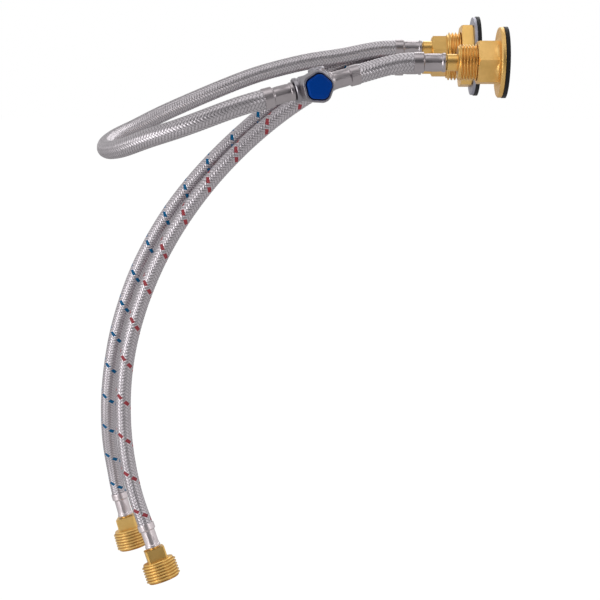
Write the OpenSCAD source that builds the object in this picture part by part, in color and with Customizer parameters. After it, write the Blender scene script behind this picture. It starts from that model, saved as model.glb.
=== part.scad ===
// Panel water fitting set: a mixer shank and an outlet shank for two holes in a
// wall panel, four wire-braided hoses and an in-line water pressure regulator.
// Millimetres. +X leaves the panel side, +Y goes back, +Z is up.
// The origin is the centre of the mixer seal's outer face.

/* [Panel fittings] */
// Distance between the two fittings' axes
fitting_spacing = 150; // [130:1:200]
// Depth of the shank ends behind the panel plane
shank_recess = 0.6; // [0.2:0.1:1.5]

/* [Mixer fitting] */
// Outside diameter of the mixer shank's G1 thread
mixer_thread_d = 33.249; // [30:0.001:40]
// Pitch of the mixer thread
mixer_pitch = 2.309; // [1.8:0.001:2.6]
// Crests on the mixer thread
mixer_crests = 9; // [7:1:10]
// Wall of the shank around the cartridge socket
mixer_wall = 2.15; // [1.8:0.05:2.6]
// Depth of the cartridge socket
socket_depth = 11.4; // [8:0.1:13]
// Wrench size of the lock nut
mixer_nut_af = 41; // [39:0.5:46]
// Thickness of the lock nut
mixer_nut_h = 8; // [6:0.5:10]
// Outside diameter of the steel washer
mixer_washer_d = 54; // [48:0.5:60]
// Thickness of the steel washer
mixer_washer_t = 2; // [1:0.1:3]
// Outside diameter of the rubber seal
mixer_seal_d = 55; // [49:0.5:62]
// Thickness of the rubber seal
mixer_seal_t = 2.5; // [1.5:0.1:4]
// Length of the hexagon block that carries the hose tails
block_len = 10.6; // [9:0.1:14]
// Wall between a tail socket and the block's flat
block_wall = 0.85; // [0.6:0.05:2]
// Room between neighbouring ferrules
ferrule_room = 1.16; // [0.5:0.01:3]
// Angle of the mixed water tail about the block's axis
mixed_angle = 132; // [122:1:142]

/* [Outlet fitting] */
// Outside diameter of the outlet shank's G1/2 thread
outlet_thread_d = 20.955; // [19:0.001:27]
// Pitch of the outlet thread
outlet_pitch = 1.814; // [1.4:0.001:2]
// Crests on the outlet thread
outlet_crests = 15; // [13:1:17]
// Diameter of the outlet waterway
outlet_bore_d = 11.8; // [9:0.1:12.4]
// Wrench size of the flange nut
flange_nut_af = 24; // [23.6:0.1:30]
// Length of the flange nut's hexagon
flange_nut_hex_len = 12.4; // [9:0.1:14]
// Diameter of the flange
flange_d = 41; // [36:0.5:50]
// Thickness of the flange
flange_t = 2.6; // [1.8:0.1:3.5]
// Outside diameter of the outlet seal
outlet_seal_d = 41.4; // [36:0.1:51]
// Thickness of the outlet seal
outlet_seal_t = 2.2; // [1.5:0.1:4]

/* [Hoses] */
// Outside diameter of a braided hose
hose_od = 11; // [10:0.1:11.6]
// Bore of a hose
hose_bore = 7; // [6.8:0.1:7.6]

/* [Hose ends] */
// Length of a ferrule
ferrule_len = 18.5; // [16:0.5:22]
// Sheet thickness of a ferrule
ferrule_wall = 0.4; // [0.3:0.05:0.6]
// Bell diameter of the ferrules on the fittings
ferrule_bell_d = 12; // [11.9:0.1:13]
// Crimped diameter of the ferrules on the fittings
ferrule_crimp_d = 9.5; // [9.3:0.1:10.2]
// Bell diameter of the ferrules on the inlet connectors
wide_bell_d = 12.8; // [12.2:0.1:14]
// Crimped diameter of the ferrules on the inlet connectors
wide_crimp_d = 10.2; // [9.6:0.1:11]
// Length of a ferrule's bell
bell_len = 5.8; // [4.5:0.1:7]
// Diameter of a tail's stem inside the hose
stem_d = 6.4; // [5.4:0.1:6.5]
// Waterway through a tail
tail_bore_d = 4.2; // [3:0.1:4.4]
// Diameter of a tail's visible collar
collar_d = 9.9; // [9:0.1:11]
// Length of a tail's visible collar
collar_len = 6.5; // [4:0.1:9]
// Diameter of a tail's spigot
spigot_d = 8; // [7.6:0.1:8.6]
// Length of a tail's spigot
spigot_len = 8; // [6.5:0.1:8.5]

/* [Inlet connectors] */
// Outside diameter of the 3/4 hose thread
inlet_thread_d = 26.56; // [24:0.01:30]
// Pitch of the hose thread
inlet_pitch = 2.209; // [1.8:0.001:2.5]
// Crests on the hose thread
inlet_crests = 6; // [5:1:8]
// Wrench size of the square
inlet_square = 15; // [13.5:0.1:18]
// Length of the square
inlet_square_len = 9.5; // [7:0.1:12]
// Width of the square's cut corners
inlet_corner = 1.2; // [0.6:0.1:2]
// Diameter of the waterway inside the thread
inlet_seat_d = 9; // [6:0.5:14]

/* [Regulator] */
// Diameter of the regulator's barrel
barrel_d = 14.8; // [14.2:0.1:16]
// Length of the inlet side from the bonnet axis
reg_inlet_len = 10.6; // [10.4:0.1:14]
// Length of the outlet side from the bonnet axis
reg_outlet_len = 10.6; // [10.4:0.1:14]
// Outside diameter of the regulator's neck
neck_d = 14.4; // [13.8:0.1:15.2]
// Diameter of the piston bore
piston_bore_d = 11; // [10.4:0.1:11.4]
// Twice the distance from the bonnet's axis to its five flats
bonnet_across = 17.6; // [17.4:0.1:20]
// Circle that rounds the bonnet's corners
bonnet_corner_d = 19.2; // [18.8:0.1:22]
// Height of the recess that takes the adjusting cap
cap_recess = 1.8; // [1.2:0.1:2.4]
// Twice the distance from the cap's axis to its five flats
cap_across = 13.3; // [12.6:0.1:13.6]
// Circle that rounds the cap's corners
cap_corner_d = 14.9; // [14.2:0.1:16.2]
// Dark gap between the cap and its recess
cap_gap = 1; // [0.6:0.1:1.2]
// Wire of the regulating spring
spring_wire_d = 0.9; // [0.6:0.05:1]
// Coils of the regulating spring
spring_coils = 3.5; // [2.5:0.5:3.5]
// Travel of the piston from open to shut
piston_travel = 0.9; // [0.5:0.1:1]

/* [Hidden] */
$fn = 64;

// Colours
brass = "#cfa13f";
steel = "#b9b7b6";
braid = "#9b9694";
plated = "#c4c2c0";
rubber = "#1d1d20";
blue = "#0b3f94";

// Clearances
run_gap = 0.05;
fit_gap = 0.1;
free_gap = 0.32;
face_gap = 0.1;

// Thread form: share of the pitch taken by a crest, and depth as a share of the pitch
crest_share = 0.2;
flank_share = 0.3;
thread_depth = 0.64;

// Mixer fitting, measured from the panel plane
mixer_r = mixer_thread_d / 2;
mixer_root_r = mixer_r - thread_depth * mixer_pitch;
mixer_shank_len = mixer_crests * mixer_pitch + 1;
mixer_left = shank_recess + mixer_shank_len;
socket_r = mixer_root_r - mixer_wall;
block_spigot_r = socket_r - 0.9;
washer_x = mixer_seal_t + face_gap;
nut_x = washer_x + mixer_washer_t + face_gap;
block_face = mixer_left + block_len;
tail_socket_r = spigot_d / 2 + run_gap;
tail_circle_r = (ferrule_bell_d + ferrule_room) / sqrt(3);
block_af = 2 * (tail_circle_r + tail_socket_r + block_wall);
hot_angle = mixed_angle + 120;
cold_angle = mixed_angle + 240;
block_ring_r = 0.6;
nut_turn = 37;
block_turn = 50;

// Outlet fitting
outlet_r = outlet_thread_d / 2;
outlet_root_r = outlet_r - thread_depth * outlet_pitch;
outlet_shank_len = outlet_crests * outlet_pitch + 0.8;
outlet_face = shank_recess + outlet_shank_len;
outlet_nut_x = outlet_seal_t + face_gap;
flange_fillet = 3;

// Hose ends: lengths run outwards from the face that a tail seats on
ferrule_gap = 0.6;
bead_len = 3.2;
bead_rise = 0.65;
bell_step = 0.7;
crimp_end = ferrule_len - bell_len - bell_step;
hose_r = hose_od / 2;
bore_r = hose_bore / 2;
hose_inset = bead_len + 0.4;
neck_r = stem_d / 2 + 0.7;
tail_bore_r = tail_bore_d / 2;
stem_r = stem_d / 2;
stem_len = ferrule_len - bell_len + 1;
o_ring_r = 0.4;
o_ring_groove = [spigot_len - 3.2, 1.6];
connector_gap = 1.2;

// Hose thread connectors: place of the square's top and lean of the hose
cold_place = [-265, 19.8, -359.5];
cold_lean = [-9, -16];
cold_spin = 5;
hot_place = [-237.7, -17.9, -369.5];
hot_lean = [-12, -20];
hot_spin = 20;
inlet_r = inlet_thread_d / 2;
inlet_root_r = inlet_r - thread_depth * inlet_pitch;
inlet_relief = 1.6;
inlet_thread_len = inlet_crests * inlet_pitch + 0.8;
inlet_seat_depth = inlet_thread_len - 3;

// Regulator: place of the bonnet axis on the run, and the run's roll, rise and heading
reg_place = [-114.7, -160.9, -13.6];
reg_roll = -1.6;
reg_rise = 13.6;
reg_heading = -16;
barrel_r = barrel_d / 2;
neck_out_r = neck_d / 2;
piston_bore_r = piston_bore_d / 2;
piston_r = piston_bore_r - run_gap;
inlet_collar_len = 2.6;
strainer_len = 6;
lug_x = 5.2;
lug_r = 5;
lug_top = barrel_r + 2.5;
plug_r = 2.5;
plug_base = barrel_r - 2;

// Outline of the regulator's hose stems, from the barrel's end outwards
reg_stem_end = ferrule_gap + stem_len;
reg_stem = [[neck_r, 0], [neck_r, ferrule_gap + hose_inset - fit_gap],
  [stem_r, ferrule_gap + hose_inset - fit_gap], [stem_r, reg_stem_end - 1.5],
  [stem_r - 0.5, reg_stem_end], [0, reg_stem_end]];

// Heights in the regulator, measured outwards from the run along the bonnet axis
pit_floor = -5.6;
pit_r = 3.6;
seat_base = 0.2;
seat_r = 4.4;
seat_bore_r = 2.4;
chamber_floor = 3.2;
seat_top = 3.8;
stem_shaft_r = 1.2;
poppet_r = 3.1;
poppet_seal_t = 1.4;
poppet_top = seat_base - piston_travel - fit_gap;
piston_base = 5.6;
piston_h = 3;
piston_cup = 0.6;
piston_groove = [0.7, 1.4];
piston_ring_r = 0.6;
neck_top = 11;
bonnet_base = barrel_r + face_gap;
spring_room_r = 6;
bonnet_deck = 15.2;
deck_t = 1.2;
bonnet_top = bonnet_deck + deck_t + cap_recess;
plate_base = 12.9;
plate_t = 1.5;
spindle_r = 2;
spindle_foot = 10.6;
spindle_collar_r = 3.2;
spindle_collar = [14.7, 0.4];
spindle_top = 17.1;
slot_depth = 0.7;
five_turn = 73;
dust_t = 0.8;
hub_r = 3.6;
cap_base = bonnet_deck + deck_t + dust_t + face_gap;
cap_top = bonnet_top + 0.9;
spring_r = piston_r - spring_wire_d / 2 - 0.9;

// Routes of the hoses between their ends, chosen along the hoses as they hang
cold_route = [[-72.6, 7.5, 0.7], [-96.2, 7.8, -6.1], [-118.2, 8.2, -17.1], [-138.8, 8.6, -30.6],
  [-158.3, 9.1, -45.7], [-176.8, 9.5, -61.9], [-194.3, 9.9, -79.2], [-210.6, 10.3, -97.7],
  [-225.5, 10.6, -117.3], [-238.7, 11, -138.1], [-250.1, 11.4, -159.9], [-259.4, 11.8, -182.6],
  [-266.8, 12.5, -206], [-272.1, 13.6, -229.9], [-275.6, 15.5, -254.2], [-277.2, 18.4, -278.6],
  [-276.7, 22.1, -302.9], [-273.5, 24.1, -327.2]];
hot_route = [[-72.6, -2.3, -8.3], [-95.8, -2.1, -15.2], [-117.5, -2, -26.1], [-137.7, -1.8, -39.5],
  [-156.8, -1.7, -54.7], [-174.5, -1.6, -71.2], [-191, -1.4, -89.1], [-206, -1.3, -108.2],
  [-219.4, -1.3, -128.5], [-231, -1.3, -149.8], [-240.9, -1.3, -172.1], [-248.9, -1.6, -195.1],
  [-254.8, -2, -218.7], [-258.4, -2.7, -242.7], [-259.6, -3.9, -266.9], [-258.5, -5.6, -291.1],
  [-254.9, -8, -315.1], [-248.9, -11.3, -338.4]];
mixed_route = [[-74.5, -4.7, 4.4], [-94.8, -3.9, 0.3], [-115.3, -3.1, -2.7], [-135.6, -3, -7],
  [-155.6, -4.4, -12.4], [-174.9, -7.9, -19.3], [-193.3, -14, -26.7], [-210.4, -23.2, -33.9],
  [-225.4, -35.7, -40.7], [-237.3, -51.6, -46.8], [-245.5, -70.2, -50.7], [-248.6, -90.5, -53.5],
  [-246.3, -111.2, -54.9], [-239, -130.6, -54], [-227.3, -147.4, -50.4], [-212.2, -160.3, -44.4],
  [-194.3, -168.7, -38.3], [-175.2, -172.3, -31.3], [-155.7, -171.5, -24.3]];
outlet_route = [[-64.4, -150, -0.9], [-70.9, -150.3, -2.3], [-77.3, -150.9, -4]];

// Directions
left = [-1, 0, 0];
run = [cos(reg_rise) * cos(reg_heading), -cos(reg_rise) * sin(reg_heading), sin(reg_rise)];
function lean_up(lean) = [cos(lean[0]) * sin(lean[1]), -sin(lean[0]), cos(lean[0]) * cos(lean[1])];

// Seat faces that the hose tails stand on
function tail_seat(angle) = [-block_face, tail_circle_r * cos(angle), tail_circle_r * sin(angle)];
outlet_seat = [-outlet_face, -fitting_spacing, 0];
reg_inlet_seat = reg_place - run * reg_inlet_len;
reg_outlet_seat = reg_place + run * reg_outlet_len;

// Frames in which a hose end points along +Z
module at_tail(angle) translate(tail_seat(angle)) rotate([0, -90, 0]) children();
module at_outlet_tail() translate(outlet_seat) rotate([0, -90, 0]) children();
module at_regulator() translate(reg_place) rotate([reg_roll, -reg_rise, -reg_heading]) children();
module at_reg_inlet() at_regulator() translate([-reg_inlet_len, 0, 0]) rotate([0, -90, 0]) children();
module at_reg_outlet() at_regulator() translate([reg_outlet_len, 0, 0]) rotate([0, 90, 0]) children();
module at_bonnet() at_regulator() rotate([90, 0, 0]) children();
module at_cold() translate(cold_place) rotate([cold_lean[0], cold_lean[1], 0]) children();
module at_hot() translate(hot_place) rotate([hot_lean[0], hot_lean[1], 0]) children();
// A frame on a fitting's axis in which +Z points left, away from the panel plane
module at_mixer() rotate([0, -90, 0]) children();
module at_outlet() translate([0, -fitting_spacing, 0]) rotate([0, -90, 0]) children();

// A shape turned from a list of radius and height points
module turned(points) rotate_extrude() polygon(points);
module ring(outer, inner, z, h) turned([[inner, z], [outer, z], [outer, z + h], [inner, z + h]]);
module disc(r, z, h) translate([0, 0, z]) cylinder(r = r, h = h);
// A hexagon prism whose ends are turned down by a chamfer
module hex_bar(af, z, h, low, high) intersection() {
  translate([0, 0, z]) cylinder(r = af / sqrt(3), h = h, $fn = 6);
  turned([[0, z], [af / sqrt(3) - low * 1.7, z], [af / sqrt(3), z + low],
    [af / sqrt(3), z + h - high], [af / sqrt(3) - high * 1.7, z + h], [0, z + h]]);
}

// Outline of a thread's crests from height z upwards
function crests(r, pitch, count, z) = [for (i = [0:count - 1])
  each [[r - thread_depth * pitch, z + i * pitch],
    [r, z + (i + flank_share) * pitch],
    [r, z + (i + flank_share + crest_share) * pitch],
    [r - thread_depth * pitch, z + (i + 2 * flank_share + crest_share) * pitch]]];

// Rings swept along a path
function unit(v) = v / norm(v);
function tangent(p, i) = unit(p[min(i + 1, len(p) - 1)] - p[max(i - 1, 0)]);
function around(p, i, up, r, sides) = let (
    t = tangent(p, i),
    side = unit(cross(up, t)),
    top = cross(t, side))
  [for (k = [0:sides - 1]) p[i] + r * (cos(360 * k / sides) * side + sin(360 * k / sides) * top)];
function quads(a, b, sides) = [for (k = [0:sides - 1]) let (n = (k + 1) % sides)
  each [[a + k, b + n, b + k], [a + k, a + n, b + n]]];

// A hollow tube: every ring has an outer and an inner radius
module tube(path, outer, inner, up, sides = 12) {
  n = len(path);
  points = [
    for (i = [0:n - 1]) each around(path, i, up, outer[i], sides),
    for (i = [0:n - 1]) each around(path, i, up, inner[i], sides)];
  faces = [
    for (i = [0:n - 2]) each quads(i * sides, (i + 1) * sides, sides),
    for (i = [0:n - 2]) each quads((n + i + 1) * sides, (n + i) * sides, sides),
    each quads(n * sides, 0, sides),
    each quads((n - 1) * sides, (2 * n - 1) * sides, sides)];
  polyhedron(points, faces);
}

// A solid wire along a path
module wire(path, r, up, sides = 6) {
  n = len(path);
  points = [for (i = [0:n - 1]) each around(path, i, up, r, sides)];
  faces = [
    for (i = [0:n - 2]) each quads(i * sides, (i + 1) * sides, sides),
    for (k = [1:sides - 2]) [0, k + 1, k],
    for (k = [1:sides - 2]) [(n - 1) * sides, (n - 1) * sides + k, (n - 1) * sides + k + 1]];
  polyhedron(points, faces);
}

// Radii of a hose from its end inside the crimp to its full size
function hose_end_radii(crimp_d) = [crimp_d / 2 - ferrule_wall - fit_gap,
  crimp_d / 2 - ferrule_wall - fit_gap, hose_r, hose_r];
// Points of a hose end on the axis of its ferrule, from inside to the bell
function hose_end_points(seat, dir, start) = [
  seat + dir * (start + hose_inset),
  seat + dir * (start + crimp_end + bell_step),
  seat + dir * (start + crimp_end + bell_step + 2),
  seat + dir * (start + ferrule_len + 2.5)];
function reversed(list) = [for (i = [len(list) - 1:-1:0]) list[i]];

// A hose between two ferrules
module hose(near, far, route, near_crimp, far_crimp, up) {
  path = concat(near, route, reversed(far));
  radii = concat(hose_end_radii(near_crimp), [for (p = route) hose_r],
    reversed(hose_end_radii(far_crimp)));
  color(braid) tube(path, radii, [for (p = path) bore_r], up);
}

// A crimped sleeve that starts at height start above the seat
module ferrule(bell_d, crimp_d, start) color(steel) translate([0, 0, start]) {
  bell = bell_d / 2;
  crimp = crimp_d / 2;
  w = ferrule_wall;
  turned([
    [crimp + bead_rise - w - 0.15, 0], [crimp + bead_rise - 0.2, 0], [crimp + bead_rise, 0.5],
    [crimp + bead_rise, 1.3], [crimp, bead_len], [crimp, crimp_end], [bell - 0.2, crimp_end + bell_step],
    [bell, crimp_end + bell_step + 0.3], [bell, ferrule_len - 0.3], [bell - 0.15, ferrule_len],
    [bell - w, ferrule_len], [bell - w, crimp_end + bell_step + 0.3], [crimp - w, crimp_end + 0.2],
    [crimp - w, bead_len], [crimp + bead_rise - w - 0.15, 1.2]]);
}

// The stem that a hose is crimped on, from the collar's end outwards
module stem(start, gap) turned([
  [tail_bore_r, start - 1], [neck_r, start - 1], [neck_r, start + gap + hose_inset - fit_gap],
  [stem_r, start + gap + hose_inset - fit_gap], [stem_r, start + gap + stem_len - 1.5],
  [stem_r - 0.5, start + gap + stem_len], [tail_bore_r, start + gap + stem_len]]);

// A hose tail with its spigot below the seat face and its collar above
module hose_tail(collar) color(brass) difference() {
  union() {
    ring(spigot_d / 2, tail_bore_r, -spigot_len, spigot_len + fit_gap);
    if (collar > 0)
      turned([[tail_bore_r, 0], [collar_d / 2, 0], [collar_d / 2, collar - 0.4],
        [collar_d / 2 - 0.4, collar], [tail_bore_r, collar]]);
    stem(max(collar, fit_gap + 1), ferrule_gap - max(0, fit_gap + 1 - collar));
  }
  ring(spigot_d, spigot_d / 2 - 2 * o_ring_r, -o_ring_groove[0] - o_ring_groove[1], o_ring_groove[1]);
}
module o_ring() rotate_extrude()
  translate([spigot_d / 2 - o_ring_r + run_gap / 2, -o_ring_groove[0] - o_ring_groove[1] / 2])
    circle(r = o_ring_r - run_gap / 4, $fn = 24);

// Mixer fitting
module mixer_shank() color(brass) at_mixer() difference() {
  turned(concat([[block_spigot_r + run_gap, shank_recess]],
    [[mixer_root_r, shank_recess]],
    crests(mixer_r, mixer_pitch, mixer_crests, shank_recess + 0.5),
    [[mixer_root_r, mixer_left], [block_spigot_r + run_gap, mixer_left]]));
  disc(socket_r, 0, shank_recess + socket_depth);
}
module tail_block() color(brass) at_mixer() difference() {
  union() {
    rotate([0, 0, block_turn]) hex_bar(block_af, mixer_left, block_len, 0.3, 1);
    disc(block_spigot_r, shank_recess + socket_depth, mixer_left - shank_recess - socket_depth + 1);
  }
  ring(block_spigot_r + 1, block_spigot_r - 2 * block_ring_r, mixer_left - 4, 2);
  for (angle = [cold_angle, hot_angle, mixed_angle])
    translate([tail_circle_r * sin(angle), tail_circle_r * cos(angle), 0]) {
      disc(tail_socket_r, block_face - spigot_len - fit_gap, spigot_len + 1);
      disc(tail_bore_r, 0, block_face);
    }
}
module block_seal() color(rubber) at_mixer() rotate_extrude()
  translate([block_spigot_r - block_ring_r + run_gap / 2, mixer_left - 3])
    circle(r = block_ring_r - run_gap / 4, $fn = 24);
module mixer_lock_nut() color(brass) at_mixer() difference() {
  rotate([0, 0, nut_turn]) hex_bar(mixer_nut_af, nut_x, mixer_nut_h, 0.8, 1);
  disc(mixer_r + run_gap, 0, mixer_left);
}
module mixer_washer() color(steel) at_mixer()
  ring(mixer_washer_d / 2, mixer_r + free_gap, washer_x, mixer_washer_t);
module mixer_seal_ring() color(rubber) at_mixer()
  ring(mixer_seal_d / 2, mixer_r + fit_gap, 0, mixer_seal_t);
module cold_hose_tail() at_tail(cold_angle) hose_tail(collar_len);
module hot_hose_tail() at_tail(hot_angle) hose_tail(collar_len);
module mixed_hose_tail() at_tail(mixed_angle) hose_tail(collar_len);

// Outlet fitting
module outlet_shank() color(brass) at_outlet() difference() {
  turned(concat([[tail_bore_r, shank_recess], [outlet_root_r, shank_recess]],
    crests(outlet_r, outlet_pitch, outlet_crests, shank_recess + 0.4),
    [[outlet_root_r, outlet_face], [tail_bore_r, outlet_face]]));
  disc(outlet_bore_d / 2, 0, outlet_face - spigot_len - 1.5);
  disc(tail_socket_r, outlet_face - spigot_len - fit_gap, spigot_len + 1);
}
module outlet_flange_nut() color(brass) at_outlet() difference() {
  union() {
    rotate([0, 0, nut_turn])
      hex_bar(flange_nut_af, outlet_nut_x + flange_t - 0.5, flange_nut_hex_len + 0.5, 0, 1);
    turned([[0, outlet_nut_x], [flange_d / 2 - 0.3, outlet_nut_x], [flange_d / 2, outlet_nut_x + 0.3],
      [flange_d / 2, outlet_nut_x + flange_t - 0.6], [flange_d / 2 - 0.6, outlet_nut_x + flange_t],
      for (a = [0:15:90]) [flange_nut_af / 2 + flange_fillet * (1 - sin(a)),
        outlet_nut_x + flange_t + flange_fillet * (1 - cos(a))],
      [0, outlet_nut_x + flange_t + flange_fillet]]);
  }
  disc(outlet_r + run_gap, 0, outlet_face);
}
module outlet_seal_ring() color(rubber) at_outlet()
  ring(outlet_seal_d / 2, outlet_r + free_gap, 0, outlet_seal_t);
module outlet_hose_tail() at_outlet_tail() hose_tail(collar_len);
module tail_o_rings() color(rubber) {
  for (angle = [cold_angle, hot_angle, mixed_angle]) at_tail(angle) o_ring();
  at_outlet_tail() o_ring();
}

// Ferrules
tail_start = collar_len + ferrule_gap;
module cold_top_ferrule() at_tail(cold_angle) ferrule(ferrule_bell_d, ferrule_crimp_d, tail_start);
module hot_top_ferrule() at_tail(hot_angle) ferrule(ferrule_bell_d, ferrule_crimp_d, tail_start);
module mixed_top_ferrule() at_tail(mixed_angle) ferrule(ferrule_bell_d, ferrule_crimp_d, tail_start);
module outlet_ferrule() at_outlet_tail() ferrule(ferrule_bell_d, ferrule_crimp_d, tail_start);
module regulator_inlet_ferrule() at_reg_inlet() ferrule(ferrule_bell_d, ferrule_crimp_d, ferrule_gap);
module regulator_outlet_ferrule() at_reg_outlet() ferrule(ferrule_bell_d, ferrule_crimp_d, ferrule_gap);
module cold_bottom_ferrule() at_cold() ferrule(wide_bell_d, wide_crimp_d, connector_gap);
module hot_bottom_ferrule() at_hot() ferrule(wide_bell_d, wide_crimp_d, connector_gap);

// Hoses
module cold_hose() hose(hose_end_points(tail_seat(cold_angle), left, tail_start),
  hose_end_points(cold_place, lean_up(cold_lean), connector_gap), cold_route,
  ferrule_crimp_d, wide_crimp_d, [0, 1, 0]);
module hot_hose() hose(hose_end_points(tail_seat(hot_angle), left, tail_start),
  hose_end_points(hot_place, lean_up(hot_lean), connector_gap), hot_route,
  ferrule_crimp_d, wide_crimp_d, [0, 1, 0]);
module mixed_hose() hose(hose_end_points(tail_seat(mixed_angle), left, tail_start),
  hose_end_points(reg_inlet_seat, -run, ferrule_gap), mixed_route,
  ferrule_crimp_d, ferrule_crimp_d, [0, 0, 1]);
module outlet_hose() hose(hose_end_points(outlet_seat, left, tail_start),
  hose_end_points(reg_outlet_seat, run, ferrule_gap), outlet_route,
  ferrule_crimp_d, ferrule_crimp_d, [0, 0, 1]);

// Inlet connectors: a square with a stem above it and a hose thread below
module inlet_connector(spin) color(brass) difference() {
  union() {
    rotate([0, 0, spin]) intersection() {
      translate([0, 0, -inlet_square_len / 2 - 0.5])
        cube([inlet_square, inlet_square, inlet_square_len + 1], center = true);
      rotate([0, 0, 45]) translate([0, 0, -inlet_square_len / 2 - 0.5])
        cube([1, 1, 0] * (inlet_square - inlet_corner) * sqrt(2) + [0, 0, inlet_square_len + 1],
          center = true);
    }
    stem(0, connector_gap);
    turned(concat(
      [[tail_bore_r, -inlet_square_len], [inlet_root_r - 0.4, -inlet_square_len],
        [inlet_root_r, -inlet_square_len - 0.6]],
      [for (p = crests(inlet_r, inlet_pitch, inlet_crests, inlet_square_len + inlet_relief))
        [p[0], -p[1]]],
      [[inlet_root_r, -inlet_square_len - inlet_relief - inlet_thread_len + 0.4],
        [inlet_root_r - 0.6, -inlet_square_len - inlet_relief - inlet_thread_len],
        [tail_bore_r, -inlet_square_len - inlet_relief - inlet_thread_len]]));
  }
  disc(tail_bore_r, -inlet_square_len - inlet_relief - inlet_thread_len - 1,
    inlet_square_len + inlet_relief + inlet_thread_len + 3);
  disc(inlet_seat_d / 2, -inlet_square_len - inlet_relief - inlet_thread_len - 1, inlet_seat_depth + 1);
}
module cold_inlet_connector() at_cold() inlet_connector(cold_spin);
module hot_inlet_connector() at_hot() inlet_connector(hot_spin);

// Regulator
module along_run() rotate([0, 90, 0]) children();
module regulator_body() color(plated) at_regulator() difference() {
  union() {
    along_run() turned(concat(
      [for (p = reversed(reg_stem)) [p[0], -reg_inlet_len - p[1]]],
      [[barrel_r - 0.5, -reg_inlet_len], [barrel_r, -reg_inlet_len + 0.5],
        [barrel_r, -reg_inlet_len + inlet_collar_len - 0.4],
        [barrel_r - 0.5, -reg_inlet_len + inlet_collar_len],
        [barrel_r - 0.5, -reg_inlet_len + inlet_collar_len + 1.4],
        [barrel_r, -reg_inlet_len + inlet_collar_len + 1.8],
        [barrel_r, reg_outlet_len - 0.5], [barrel_r - 0.5, reg_outlet_len]],
      [for (p = reg_stem) [p[0], reg_outlet_len + p[1]]]));
    rotate([90, 0, 0]) turned([[0, pit_floor - 2.8], [pit_r, pit_floor - 2.5],
      [neck_out_r - 1, pit_floor - 0.8], [neck_out_r, pit_floor + 1.6], [neck_out_r, neck_top],
      [0, neck_top]]);
    translate([lug_x, 0, 0]) turned([[0, 0], [lug_r, 0], [lug_r, lug_top - 0.8],
      [lug_r - 0.8, lug_top], [0, lug_top]]);
  }
  along_run() {
    disc(tail_bore_r, -reg_inlet_len - reg_stem_end - 1, reg_stem_end + 1 + 3.2);
    disc(tail_bore_r, 5, reg_outlet_len + reg_stem_end);
  }
  rotate([90, 0, 0]) {
    turned([[0, pit_floor], [pit_r, pit_floor], [pit_r, seat_base], [seat_r, seat_base],
      [seat_r, chamber_floor], [piston_bore_r, chamber_floor], [piston_bore_r, neck_top + 1],
      [0, neck_top + 1]]);
    translate([0, 0, -2.4]) along_run()
      disc(2.2, -reg_inlet_len + 2.2, reg_inlet_len - 3.2);
    translate([2.6, 0, 5]) rotate([0, 125, 0]) disc(1.9, 0, 8);
  }
  translate([lug_x, 0, 0]) disc(plug_r + run_gap, plug_base - run_gap, 10);
}
module inlet_strainer() color(steel) at_reg_inlet() difference() {
  union() {
    ring(stem_r - 0.6, tail_bore_r - 0.5, reg_stem_end + fit_gap, 0.5);
    ring(tail_bore_r - run_gap, tail_bore_r - 0.5, reg_stem_end - strainer_len,
      strainer_len + fit_gap + 0.3);
    disc(tail_bore_r - run_gap, reg_stem_end - strainer_len, 0.4);
  }
  for (row = [1:3], side = [0:1])
    rotate([0, 0, side * 90]) translate([0, 0, reg_stem_end - strainer_len + row * 1.5])
      rotate([90, 0, 0]) cylinder(r = 0.45, h = 20, center = true, $fn = 24);
}
module valve_seat() color(brass) at_bonnet()
  turned([[seat_bore_r, seat_base], [seat_r - fit_gap, seat_base], [seat_r - fit_gap, chamber_floor],
    [seat_bore_r + 0.8, seat_top], [seat_bore_r, seat_top]]);
module piston() color(brass) at_bonnet() difference() {
  union() {
    disc(piston_r, piston_base, piston_h);
    disc(stem_shaft_r, poppet_top - poppet_seal_t - 1.6, piston_base - poppet_top + poppet_seal_t + 2);
  }
  disc(piston_r - 0.7, piston_base + piston_h - piston_cup, piston_cup + 1);
  ring(piston_r + 1, piston_r - 2 * piston_ring_r, piston_base + piston_groove[0], piston_groove[1]);
}
module piston_seal() color(rubber) at_bonnet() rotate_extrude()
  translate([piston_r - piston_ring_r, piston_base + piston_groove[0] + piston_groove[1] / 2])
    circle(r = piston_ring_r - run_gap / 4, $fn = 24);
module poppet() color(brass) at_bonnet()
  ring(poppet_r, stem_shaft_r + run_gap, poppet_top - poppet_seal_t - 1.6, 1.6);
module poppet_seal() color(rubber) at_bonnet()
  ring(poppet_r, stem_shaft_r + run_gap, poppet_top - poppet_seal_t, poppet_seal_t);
spring_low = piston_base + piston_h - piston_cup + spring_wire_d / 2 + run_gap;
spring_high = plate_base - spring_wire_d / 2 - run_gap;
module regulating_spring() color(steel) at_bonnet()
  wire([for (i = [0:spring_coils * 16]) [spring_r * cos(i * 22.5), spring_r * sin(i * 22.5),
    spring_low + (spring_high - spring_low) * i / (spring_coils * 16)]], spring_wire_d / 2, [0, 0, 1]);
module spring_plate() color(brass) at_bonnet()
  ring(spring_room_r - free_gap, spindle_r + run_gap, plate_base, plate_t);
module adjusting_spindle() color(steel) at_bonnet() difference() {
  union() {
    disc(spindle_r, spindle_foot, spindle_top - spindle_foot);
    disc(spindle_collar_r, spindle_collar[0], spindle_collar[1]);
  }
  translate([0, 0, spindle_top])
    cube([3 * spindle_r, 0.6, 2 * slot_depth], center = true);
}
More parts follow.
